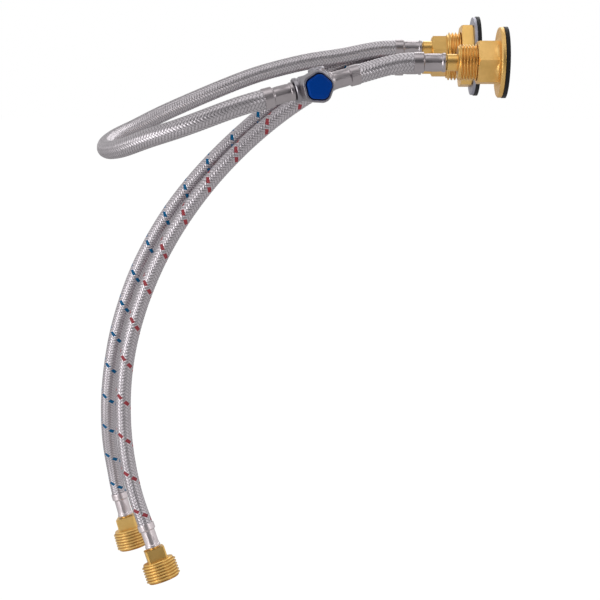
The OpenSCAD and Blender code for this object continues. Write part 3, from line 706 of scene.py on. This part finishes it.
class Modeller:
    """Short calls for modelling by operators on one piece at a time."""

    RING_SIDES = 72
    BAR_SIDES = 64
    SMOOTH_ANGLE = 32.0

    @staticmethod
    def clear() -> None:
        """Leaves edit mode and deselects everything."""
        if bpy.context.object and bpy.context.object.mode != "OBJECT":
            bpy.ops.object.mode_set(mode="OBJECT")
        bpy.ops.object.select_all(action="DESELECT")

    @classmethod
    def take(cls, obj: Object) -> None:
        """Selects one piece alone and makes it the active one."""
        cls.clear()
        obj.select_set(True)
        bpy.context.view_layer.objects.active = obj

    @staticmethod
    def pick(obj: Object, kind: Part, test: Callable[[object], bool]) -> None:
        """Selects the vertices, edges or faces of the edited piece that pass a test.

        Args:
            obj: The piece in edit mode.
            kind: What is selected.
            test: Whether one of them is.
        """
        bpy.ops.mesh.select_mode(type=kind.name)
        bpy.ops.mesh.select_all(action="DESELECT")
        bpy.ops.object.mode_set(mode="OBJECT")
        for item in getattr(obj.data, kind.value):
            item.select = test(item)
        bpy.ops.object.mode_set(mode="EDIT")

    @classmethod
    def lathe(cls, name: str, profile: Sequence[Pair]) -> Object:
        """Extrudes a circle ring by ring along a closed outline of radius and height.

        Args:
            name: Name of the piece.
            profile: Radius and height of each ring in millimetres, round the outline once.

        Returns:
            The new piece, closed from its last ring to its first.
        """
        cls.clear()
        r0, z0 = profile[0]
        bpy.ops.mesh.primitive_circle_add(vertices=cls.RING_SIDES, radius=r0 * MM, location=(0, 0, z0 * MM))
        obj = bpy.context.object
        obj.name = obj.data.name = name
        bpy.ops.object.transform_apply(location=True)
        bpy.ops.object.mode_set(mode="EDIT")
        bpy.ops.mesh.select_all(action="SELECT")
        for (r_from, z_from), (r_to, z_to) in zip(profile, profile[1:]):
            bpy.ops.mesh.extrude_region_move(TRANSFORM_OT_translate={"value": (0, 0, (z_to - z_from) * MM)})
            scale = r_to / r_from
            bpy.ops.transform.resize(value=(scale, scale, 1), center_override=(0, 0, z_to * MM))
        bpy.ops.mesh.select_all(action="DESELECT")
        bpy.ops.mesh.select_non_manifold(extend=False)
        bpy.ops.mesh.bridge_edge_loops()
        bpy.ops.mesh.select_all(action="SELECT")
        bpy.ops.mesh.normals_make_consistent(inside=False)
        bpy.ops.object.mode_set(mode="OBJECT")
        return obj

    @classmethod
    def bar(cls, sides: int, radius: float, low: float, high: float) -> Object:
        """Adds a bar along +Z between two heights in millimetres."""
        cls.clear()
        bpy.ops.mesh.primitive_cylinder_add(
            vertices=sides, radius=radius * MM, depth=(high - low) * MM, location=(0, 0, (low + high) / 2 * MM)
        )
        return bpy.context.object

    @classmethod
    def settle(cls, obj: Object, place: Matrix) -> None:
        """Puts a finished piece in its place, with the place in its mesh, and smooths its faces."""
        cls.take(obj)
        obj.matrix_world = place
        bpy.ops.object.transform_apply(location=True, rotation=True, scale=True)
        bpy.ops.object.shade_smooth_by_angle(angle=math.radians(cls.SMOOTH_ANGLE))
        obj.select_set(False)

    @classmethod
    def cut(cls, obj: Object, operation: str, radius: float, low: float, high: float) -> None:
        """Joins a round bar to a piece or bores one out of it, along +Z.

        Args:
            obj: The piece.
            operation: UNION or DIFFERENCE.
            radius: Radius of the bar in millimetres.
            low: Height of its lower end.
            high: Height of its upper end.
        """
        bar = cls.bar(cls.BAR_SIDES, radius, low, high)
        cls.take(obj)
        bpy.ops.object.modifier_add(type="BOOLEAN")
        boolean = obj.modifiers[-1]
        boolean.operation, boolean.solver, boolean.object = operation, "EXACT", bar
        bpy.ops.object.modifier_apply(modifier=boolean.name)
        bpy.data.objects.remove(bar)
        obj.select_set(False)

    @staticmethod
    def copy(obj: Object, name: str) -> Object:
        """Copies a piece with a mesh of its own."""
        twin = obj.copy()
        twin.data = obj.data.copy()
        twin.name = twin.data.name = name
        bpy.context.scene.collection.objects.link(twin)
        return twin


def dress(obj: Object, material: Material) -> None:
    """Gives a piece one material in place of what it has."""
    obj.data.materials.clear()
    obj.data.materials.append(material)


def declare(obj: Object, body: Body, slot: str, *nodes: str) -> None:
    """Says what a piece rides on and which nodes it stands for."""
    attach(obj, body.value)
    if nodes:
        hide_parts(*nodes)
    LOG.info("%s: %d faces", obj.name, len(obj.data.polygons))


@dataclass
class BraidedHose:
    """A wire-braided hose that follows a route between two hose ends, in millimetres apart from the pitch.

    Its mouth heights keep it straight where it leaves a ferrule. Smoothing moves each point but those held at the ends.
    """

    name: str
    near: HoseEnd
    far: HoseEnd
    route: list[Point]
    pitch: float
    smoothing: int = 400
    held: int = 20
    diameter: float = 11.0
    crown: float = 0.25
    relief: float = 0.24
    sides: int = 96
    step: float = 0.45
    mouth_heights: Pair = (-1.0, 3.0)
    points_per_mm: int = 4
    least_points: int = 400

    def corners(self) -> np.ndarray:
        """Points that the centreline passes, in millimetres, from bell to bell."""
        ends = []
        for end in (self.near, self.far):
            heights = (-end.bell_depth, *self.mouth_heights)
            ends.append([end.along(end.mouth() + z) / MM for z in heights])
        points = ends[0] + [Vector(p) for p in self.route] + ends[1][::-1]
        return np.array([tuple(p) for p in points], float)

    @staticmethod
    def steps(line: np.ndarray) -> np.ndarray:
        """Distances between neighbouring points of a line."""
        return np.linalg.norm(np.diff(line, axis=0), axis=1)

    def centreline(self) -> np.ndarray:
        """Even points along a smooth line through the corners, in millimetres."""
        knots, h = self.corners(), self.held
        at = np.concatenate([[0.0], np.cumsum(self.steps(knots))])
        count = max(self.least_points, int(at[-1] * self.points_per_mm))
        dense = self._spline(at, knots, np.linspace(0.0, at[-1], count))
        for _ in range(self.smoothing):
            between = (dense[h - 1 : -h - 1] + dense[h + 1 : 1 - h]) / 2
            dense[h:-h] += 0.5 * (between - dense[h:-h])
        run = np.concatenate([[0.0], np.cumsum(self.steps(dense))])
        even = np.linspace(0.0, run[-1], int(run[-1] / self.step) + 1)
        return np.stack([np.interp(even, run, dense[:, i]) for i in range(3)], axis=1)

    @staticmethod
    def _spline(at: np.ndarray, knots: np.ndarray, where: np.ndarray) -> np.ndarray:
        """Natural cubic spline through knots.

        Args:
            at: Distance of each knot along the line.
            knots: The points.
            where: Distances to return points at.

        Returns:
            The points on the spline.
        """
        h = np.diff(at)
        system = np.diag(np.r_[1.0, 2 * (h[:-1] + h[1:]), 1.0])
        system += np.diag(np.r_[h[:-1], 0.0], -1) + np.diag(np.r_[0.0, h[1:]], 1)
        right = np.zeros_like(knots)
        right[1:-1] = 6 * np.diff(np.diff(knots, axis=0) / h[:, None], axis=0)
        bend = np.linalg.solve(system, right)
        k = np.clip(np.searchsorted(at, where, side="right") - 1, 0, len(h) - 1)
        a, b = (at[k + 1] - where)[:, None], (where - at[k])[:, None]
        w = h[k][:, None]
        return (
            bend[k] * a**3 / (6 * w)
            + bend[k + 1] * b**3 / (6 * w)
            + (knots[k] / w - bend[k] * w / 6) * a
            + (knots[k + 1] / w - bend[k + 1] * w / 6) * b
        )

    @staticmethod
    def frames(line: np.ndarray) -> tuple[np.ndarray, np.ndarray]:
        """Two directions square to the line at each point, carried along without twist."""
        tangent = np.gradient(line, axis=0)
        tangent /= np.linalg.norm(tangent, axis=1)[:, None]
        side = np.zeros_like(line)
        first = np.cross(tangent[0], (0.0, 0.0, 1.0))
        side[0] = first / np.linalg.norm(first)
        for i in range(1, len(line)):
            carried = side[i - 1] - tangent[i] * (side[i - 1] @ tangent[i])
            side[i] = carried / np.linalg.norm(carried)
        return side, np.cross(tangent, side)

    def build(self) -> tuple[Object, np.ndarray]:
        """Sweeps the braided surface.

        Returns:
            The hose and its centreline in metres.
        """
        line = self.centreline()
        side, top = self.frames(line)
        rows, cols = len(line), self.sides
        u = np.arange(cols) / cols
        v = np.arange(rows) * self.step * MM
        right = u[None, :] * CARRIERS + v[:, None] / self.pitch
        left = u[None, :] * CARRIERS - v[:, None] / self.pitch
        cell = (np.floor(right) + np.floor(left)) % (2 * FLOAT)
        over = cell < FLOAT
        along = np.where(over, cell + left % 1.0, cell - FLOAT + right % 1.0)
        across = np.sin(np.pi * np.where(over, right % 1.0, left % 1.0)) ** 0.5
        hump = across * (FLOAT_LEVEL + FLOAT_RISE * np.sqrt(np.abs(np.sin(np.pi / FLOAT * along))))
        ring = self.diameter / 2 + self.crown - self.relief * (1 - hump)
        angle = 2 * math.pi * u
        around = np.cos(angle)[None, :, None] * side[:, None, :] + np.sin(angle)[None, :, None] * top[:, None, :]
        surface = (line[:, None, :] + ring[:, :, None] * around).reshape(-1, 3)
        points = np.concatenate([surface, line[:1], line[-1:]]) * MM
        quads, maps = [], []
        for i in range(rows - 1):
            for k in range(cols):
                n = (k + 1) % cols
                quads.append((i * cols + k, i * cols + n, (i + 1) * cols + n, (i + 1) * cols + k))
                maps += [(u[k], v[i]), (u[k] + 1 / cols, v[i]), (u[k] + 1 / cols, v[i + 1]), (u[k], v[i + 1])]
        near, far, last = rows * cols, rows * cols + 1, (rows - 1) * cols
        for k in range(cols):
            n = (k + 1) % cols
            quads.append((near, n, k))
            quads.append((far, last + k, last + n))
            maps += [(u[k], 0.0)] * 3 + [(u[k], v[-1])] * 3
        mesh = bpy.data.meshes.new(self.name)
        mesh.from_pydata(points.tolist(), [], quads)
        layer = mesh.uv_layers.new(name="lay")
        layer.data.foreach_set("uv", np.array(maps, np.float32).ravel())
        mesh.polygons.foreach_set("use_smooth", [True] * len(mesh.polygons))
        mesh.update()
        obj = bpy.data.objects.new(self.name, mesh)
        bpy.context.scene.collection.objects.link(obj)
        return obj, line * MM

    def length(self, line: np.ndarray) -> float:
        """Length of the centreline in metres."""
        return float(self.steps(line).sum())


@dataclass
class CrimpedFerrule:
    """A steel sleeve crimped on a hose end by eight jaws, in millimetres."""

    name: str
    bell_d: float
    crimp_d: float
    wall: float = 0.4
    length: float = 18.5
    bell_len: float = 5.8
    jaws: int = 8
    press_low: float = 3.3
    press_end: float = 1.2
    # Of the ridges between jaws and the flats under them: the place in a jaw's width, the reach and the scale.
    ridge: Point = (0.0, 0.3, 1.032)
    flat: Point = (0.5, 1.6, 0.985)

    def build(self) -> Object:
        """Turns the sleeve along +Z from its bead and presses the jaw marks into it."""
        bell, crimp, w, end = self.bell_d / 2, self.crimp_d / 2, self.wall, self.length
        step = end - self.bell_len
        bead = [
            (crimp + 0.12, 0.0), (crimp + 0.3, 0.0), (crimp + 0.45, 0.12), (crimp + 0.5, 0.35), (crimp + 0.5, 1.35),
            (crimp + 0.45, 1.6), (crimp + 0.3, 1.85), (crimp + 0.1, 2.05),
        ]
        sleeve = [(crimp, z) for z in (2.3, 2.8, 3.6, 5.2, 7.2, 9.4, step - self.press_end, step - 0.7)]
        cup = [
            (crimp + 0.1, step - 0.35), (bell - 0.3, step), (bell - 0.08, step + 0.08), (bell, step + 0.28),
            (bell, step + 0.5), (bell, step + 3.0), (bell, end - 0.45), (bell, end - 0.25), (bell - 0.06, end - 0.07),
            (bell - 0.2, end),
        ]
        bore = [
            (bell - w, end - 0.15), (bell - w, step + 0.6), (crimp - w + 0.2, step - 0.3), (crimp - w, step - 1.0),
            (crimp - w, 3.4), (crimp + 0.08, 1.2),
        ]
        obj = Modeller.lathe(self.name, bead + sleeve + cup + bore)
        Modeller.take(obj)
        bpy.ops.object.mode_set(mode="EDIT")
        for phase, reach, scale in (self.ridge, self.flat):
            self._press(obj, phase, reach, scale)
        bpy.ops.object.mode_set(mode="OBJECT")
        obj.select_set(False)
        return obj

    def _press(self, obj: Object, phase: float, reach: float, scale: float) -> None:
        """Draws lines of the outer wall in or out, one for each jaw.

        Args:
            obj: The sleeve in edit mode.
            phase: Share of a jaw's width from a joint between jaws.
            reach: How far from its line a vertex still moves, in jaws times the angle.
            scale: Factor on the radius.
        """
        width = 2 * math.pi / self.jaws
        high = self.length - self.bell_len - self.press_end
        least = self.crimp_d / 2 - self.wall / 2

        def on_line(vertex: MeshVertex) -> bool:
            """Whether a vertex lies on such a line of the outer wall."""
            p = vertex.co
            r, z = math.hypot(p.x, p.y) / MM, p.z / MM
            turn = (math.atan2(p.y, p.x) / width - phase) % 1.0
            near = min(turn, 1 - turn) * width * self.jaws
            return self.press_low <= z <= high and r > least and near < reach

        Modeller.pick(obj, Part.VERT, on_line)
        bpy.ops.transform.resize(value=(scale, scale, 1.0), center_override=(0, 0, 0))


@dataclass
class HoseSet:
    """The four hoses and their eight ferrules."""

    finishes: Finishes
    materials: dict[str, Material]
    path_step: float = 4.0

    def hoses(self) -> None:
        f = self.finishes
        plan = [
            ("cold", SIZES.tail(COLD_ANGLE), SIZES.cold(), COLD_ROUTE, f.blue_braid, "fitting"),
            ("hot", SIZES.tail(HOT_ANGLE), SIZES.hot(), HOT_ROUTE, f.red_braid, "fitting"),
            ("mixed", SIZES.tail(MIXED_ANGLE), REG_INLET, MIXED_ROUTE, f.plain_braid, "object"),
            ("outlet", SIZES.outlet(), REG_OUTLET, OUTLET_ROUTE, f.plain_braid, ""),
        ]
        for kind, near, far, route, finish, far_end in plan:
            hose = BraidedHose(kind + "_braided_hose", near, far, route, finish.pitch)
            if not far_end:
                hose.smoothing = 0
            obj, line = hose.build()
            dress(obj, self.materials[finish.name])
            declare(obj, Body.FITTINGS, finish.slot, kind + "_hose")
            LOG.info("%s: %.1f mm long", obj.name, hose.length(line) / MM)
            if far_end:
                hose.length(line)

    def ferrules(self) -> None:
        """Builds one narrow and one wide ferrule and sets copies on the hose ends."""
        narrow = CrimpedFerrule("narrow_ferrule", 12.2, 10.2).build()
        wide = CrimpedFerrule("wide_ferrule", 13.0, 10.8, bell_len=4.8).build()
        places = {
            "cold_top_ferrule": (narrow, SIZES.tail(COLD_ANGLE)),
            "hot_top_ferrule": (narrow, SIZES.tail(HOT_ANGLE)),
            "mixed_top_ferrule": (narrow, SIZES.tail(MIXED_ANGLE)),
            "outlet_ferrule": (narrow, SIZES.outlet()),
            "regulator_inlet_ferrule": (narrow, REG_INLET),
            "regulator_outlet_ferrule": (narrow, REG_OUTLET),
            "cold_bottom_ferrule": (wide, SIZES.cold()),
            "hot_bottom_ferrule": (wide, SIZES.hot()),
        }
        for node, (model, end) in places.items():
            obj = Modeller.copy(model, "crimped_" + node)
            Modeller.settle(obj, end.place @ Matrix.Translation((0, 0, end.start * MM)))
            # The wide bottom ferrules take the steel painted lighter, standing in for their brighter reflections.
            finish = self.finishes.ferrule_painted_lighter if model is wide else self.finishes.ferrule
            dress(obj, self.materials[finish.name])
            declare(obj, Body.FITTINGS, finish.slot, node)
        for model in (narrow, wide):
            bpy.data.objects.remove(model)


@dataclass
class RegulatorHead:
    """The regulator's five-sided bonnet and the blue cap in its recess, in millimetres along the bonnet's axis.

    A bore is its radius and upper end, a rim its rounding, and the hub its outer radius, inner radius and lower end.
    """

    finishes: Finishes
    materials: dict[str, Material]
    sides: int = 5
    turn: float = 73.0
    corner_segments: int = 12
    bonnet_across: float = 17.6
    bonnet_corner: float = 19.2
    bonnet_base: float = 7.5
    bonnet_top: float = 18.2
    bonnet_rim: tuple[float, int] = (0.42, 4)
    recess_floor: float = 16.4
    wall: float = 1.5
    neck_bore: Pair = (7.3, 11.1)
    spring_room: Pair = (6.0, 15.2)
    spindle_bore: Pair = (2.05, 18.2)
    cap_across: float = 13.4
    cap_corner: float = 14.9
    cap_base: float = 17.3
    cap_top: float = 20.6
    cap_rim: tuple[float, int] = (1.1, 6)
    hub: Point = (3.6, 2.32, 16.5)
    hub_overlap: float = 0.4
    overshoot: float = 1.0

    def build(self) -> None:
        """Models both pieces, sets them on the regulator and dresses them."""
        place = SIZES.regulator_frame() @ Matrix.Rotation(math.radians(90.0), 4, "X")
        for obj, body, finish, node in (
            (self.bonnet(), Body.FITTINGS, self.finishes.plated, "bonnet"),
            (self.cap(), Body.CAP, self.finishes.blue, "cover_cap"),
        ):
            Modeller.settle(obj, place)
            dress(obj, self.materials[finish.name])
            declare(obj, body, finish.slot, node)

    def bonnet(self) -> Object:
        """The bonnet with its recess, soft rims and the bores for neck, spring and spindle."""
        obj = self._bar("five_sided_bonnet", self.bonnet_across, self.bonnet_corner, self.bonnet_base, self.bonnet_top)
        self._pick_top(obj, self.bonnet_top)
        bpy.ops.mesh.inset(thickness=self.wall * MM)
        depth = (self.recess_floor - self.bonnet_top) * MM
        bpy.ops.mesh.extrude_region_move(TRANSFORM_OT_translate={"value": (0, 0, depth)})
        self._round_top(obj, self.bonnet_top, self.bonnet_rim)
        for radius, top in (self.neck_bore, self.spring_room, self.spindle_bore):
            Modeller.cut(obj, "DIFFERENCE", radius, self.bonnet_base - self.overshoot, top)
        return obj

    def cap(self) -> Object:
        """The cap with a rounded upper edge and a hub that grips the spindle's end."""
        obj = self._bar("five_sided_cap", self.cap_across, self.cap_corner, self.cap_base, self.cap_top)
        self._round_top(obj, self.cap_top, self.cap_rim)
        outer, inner, low = self.hub
        Modeller.cut(obj, "UNION", outer, low, self.cap_base + self.hub_overlap)
        Modeller.cut(obj, "DIFFERENCE", inner, low - self.overshoot, self.cap_base)
        return obj

    def _bar(self, name: str, across: float, corner: float, low: float, high: float) -> Object:
        """Models a five-sided bar with rounded corners along +Z.

        Args:
            name: Name of the piece.
            across: Twice the distance from the axis to a side, in millimetres.
            corner: Diameter over the rounded corners.
            low: Height of the lower end.
            high: Height of the upper end.

        Returns:
            The bar, left in edit mode.
        """
        half = math.radians(180.0 / self.sides)
        sharp = across / 2 / math.cos(half)
        round_r = (sharp - corner / 2) / (1 / math.cos(half) - 1)
        obj = Modeller.bar(self.sides, sharp, low, high)
        obj.name = obj.data.name = name
        first = obj.data.vertices[0].co
        obj.rotation_euler.z = math.radians(self.turn) - math.atan2(first.y, first.x)
        bpy.ops.object.transform_apply(location=True, rotation=True)
        bpy.ops.object.mode_set(mode="EDIT")

        def upright(edge: MeshEdge) -> bool:
            """Whether an edge runs from end to end of the bar."""
            a, b = (obj.data.vertices[i].co for i in edge.vertices)
            return abs(a.z - b.z) > 0.5 * (high - low) * MM

        Modeller.pick(obj, Part.EDGE, upright)
        bpy.ops.mesh.bevel(offset=round_r * math.tan(half) * MM, segments=self.corner_segments, affect="EDGES")
        return obj

    @staticmethod
    def _pick_top(obj: Object, height: float) -> None:
        """Selects the faces of the edited piece that look up at a height in millimetres."""
        steep, near = 0.9, 0.01 * MM
        Modeller.pick(obj, Part.FACE, lambda f: f.normal.z > steep and abs(f.center.z - height * MM) < near)

    @classmethod
    def _round_top(cls, obj: Object, height: float, rim: tuple[float, int]) -> None:
        """Rounds the edges of the edited piece's upper face and leaves edit mode.

        Args:
            obj: The piece in edit mode.
            height: Height of the face in millimetres.
            rim: Width of the rounding in millimetres, and its segments.
        """
        cls._pick_top(obj, height)
        bpy.ops.mesh.region_to_loop()
        bpy.ops.mesh.bevel(offset=rim[0] * MM, segments=rim[1], affect="EDGES")
        bpy.ops.object.mode_set(mode="OBJECT")


@dataclass
class Fittings:
    """The turned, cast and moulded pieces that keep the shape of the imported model."""

    finishes: Finishes
    materials: dict[str, Material]

    def dress_nodes(self) -> None:
        """Gives every carried-over node the finish of its real surface."""
        f = self.finishes
        plan: list[tuple[Finish, list[str]]] = [
            (f.brass, [
                "mixer_shank", "tail_block", "cold_hose_tail", "hot_hose_tail", "mixed_hose_tail", "outlet_shank",
                "outlet_hose_tail", "valve_seat", "piston", "poppet", "spring_plate",
            ]),
            (f.turned_brass, ["mixer_lock_nut"]),
            (f.cast_brass, ["outlet_flange_nut"]),
            (f.cold_brass_painted_lighter, ["cold_inlet_connector"]),
            (f.hot_brass, ["hot_inlet_connector"]),
            (f.plated, ["regulator_body", "port_plug"]),
            (f.zinc, ["mixer_washer"]),
            (f.stainless, ["inlet_strainer", "regulating_spring", "adjusting_spindle"]),
            (f.rubber, [
                "mixer_seal_ring", "outlet_seal_ring", "tail_o_rings", "block_seal", "piston_seal", "poppet_seal",
                "bonnet_seal",
            ]),
        ]
        for finish, nodes in plan:
            for node in nodes:
                dress(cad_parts[node], self.materials[finish.name])
                LOG.info("%s: %s", node, finish.name)


@dataclass
class Studio:
    """Camera at the photograph's place, soft lamps, a white world and a pale floor, in metres and degrees."""

    camera_place: Point = (-0.09975, -0.8903, 0.02123)
    camera_turn: Point = (77.40, 0.0, 1.69)
    lens: float = 73.62
    sensor: float = 36.0
    clip: Pair = (0.01, 50.0)
    set_middle: Point = (-0.13, -0.07, -0.12)
    hose_middle: Point = (-0.26, 0.0, -0.32)
    lamp_shine: float = 0.4
    # The world: directions over which its camera side dims and the dimming fades downwards, and its greys.
    camera_side: Pair = (-0.4, -0.86)
    horizon: Pair = (-0.24, 0.02)
    low_dimming: float = 0.3
    dim: Colour = (0.12, 0.12, 0.125)
    below: float = 0.72
    level: float = 0.9
    above: float = 0.5
    soft_light: float = 0.62
    # The floor: its glow's strength to the camera and in reflections, and the glow's share of what they see.
    floor_z: float = -0.56
    floor_size: float = 14.0
    floor_grey: float = 0.9
    floor_rough: float = 0.9
    floor_glow: Pair = (1.07, 0.6)
    glow_share: float = 0.92

    def build(self) -> None:
        """Sets the stage."""
        scene = bpy.context.scene
        scene.view_settings.view_transform = "Standard"
        data = bpy.data.cameras.new("photo_camera")
        data.lens, data.sensor_width, data.sensor_fit = self.lens, self.sensor, "HORIZONTAL"
        data.clip_start, data.clip_end = self.clip
        camera = bpy.data.objects.new("photo_camera", data)
        camera.location = self.camera_place
        camera.rotation_euler = [math.radians(a) for a in self.camera_turn]
        scene.collection.objects.link(camera)
        scene.camera = camera
        self.lamp("top_softbox", (-0.35, -0.45, 1.1), self.set_middle, 1.0, 2.5)
        self.lamp("left_softbox", (-1.1, -0.8, -0.15), self.hose_middle, 0.7, 5.0)
        self.lamp("right_softbox", (0.9, -0.9, 0.45), self.set_middle, 0.6, 3.0)
        self.lamp("back_softbox", (0.2, 1.0, 0.7), self.set_middle, 0.8, 4.0)
        self.world()
        self.floor()

    def lamp(self, name: str, place: Point, aim: Point, size: float, power: float) -> None:
        """Hangs a square soft lamp that looks at a point.

        Args:
            name: Name of the lamp.
            place: Where it hangs.
            aim: The point that it looks at.
            size: Width.
            power: Power in watts.
        """
        data = bpy.data.lights.new(name, "AREA")
        data.size, data.energy, data.specular_factor = size, power, self.lamp_shine
        lamp = bpy.data.objects.new(name, data)
        lamp.location = place
        lamp.rotation_euler = (Vector(aim) - Vector(place)).to_track_quat("-Z", "Y").to_euler()
        bpy.context.scene.collection.objects.link(lamp)

    def world(self) -> None:
        """White to the camera, dim in reflections from the camera's side, softer as a light on the object."""
        world = bpy.data.worlds.new("white_studio")
        bpy.context.scene.world = world
        world.use_nodes = True
        sheet = Sheet(world.node_tree)
        way = sheet.add("SeparateXYZ", {0: sheet.add("TexCoord").outputs["Generated"]})
        back, up = way.outputs[1], way.outputs[2]
        near = sheet.ease(back, *self.camera_side, 0.0, 1.0)
        dimming = sheet.times(near, sheet.ease(up, *self.horizon, self.low_dimming, 1.0))
        stops = zip((0.0, 0.5, 1.0), map(grey, (self.below, self.level, self.above)))
        tone = sheet.ramp(sheet.plus(sheet.times(up, 0.5), 0.5), *stops)
        room = sheet.mix(dimming, tone, rgba(self.dim))
        sheet.feed(
            sheet.first("BACKGROUND"),
            {
                0: sheet.mix(sheet.is_ray("Camera", "Transmission"), room, rgba(grey(1.0))),
                1: sheet.span(sheet.is_ray("Camera", "Transmission", "Glossy"), self.soft_light, 1.0),
            },
        )

    def floor(self) -> None:
        """A wide pale floor that is white to the camera and keeps the soft shadow."""
        Modeller.clear()
        bpy.ops.mesh.primitive_plane_add(size=self.floor_size, location=(0, 0, self.floor_z))
        floor = bpy.context.object
        floor.name = "pale_floor"
        material = bpy.data.materials.new("pale_floor")
        material.use_nodes = True
        sheet = Sheet(material.node_tree)
        shader = sheet.first("BSDF_PRINCIPLED")
        sheet.feed(shader, {"Base Color": rgba(grey(self.floor_grey)), "Roughness": self.floor_rough})
        strength = sheet.span(sheet.is_ray("Glossy"), *self.floor_glow)
        glow = sheet.add("Emission", {"Color": rgba(grey(1.0)), "Strength": strength})
        share = sheet.times(sheet.is_ray("Camera", "Transmission", "Glossy"), self.glow_share)
        mixed = sheet.add("MixShader", {0: share, 1: shader.outputs[0], 2: glow.outputs[0]})
        sheet.feed(sheet.first("OUTPUT_MATERIAL"), {"Surface": mixed.outputs[0]})
        dress(floor, material)
        floor.select_set(False)


def main() -> None:
    """Builds the stage, the hoses, the ferrules and the fittings in order."""
    logging.basicConfig(level=logging.INFO, format="%(message)s")
    Modeller.clear()
    finishes = Finishes()
    materials = finishes.make()
    Studio().build()
    hoses = HoseSet(finishes, materials)
    hoses.hoses()
    hoses.ferrules()
    RegulatorHead(finishes, materials).build()
    Fittings(finishes, materials).dress_nodes()


if __name__ == "__main__":
    main()
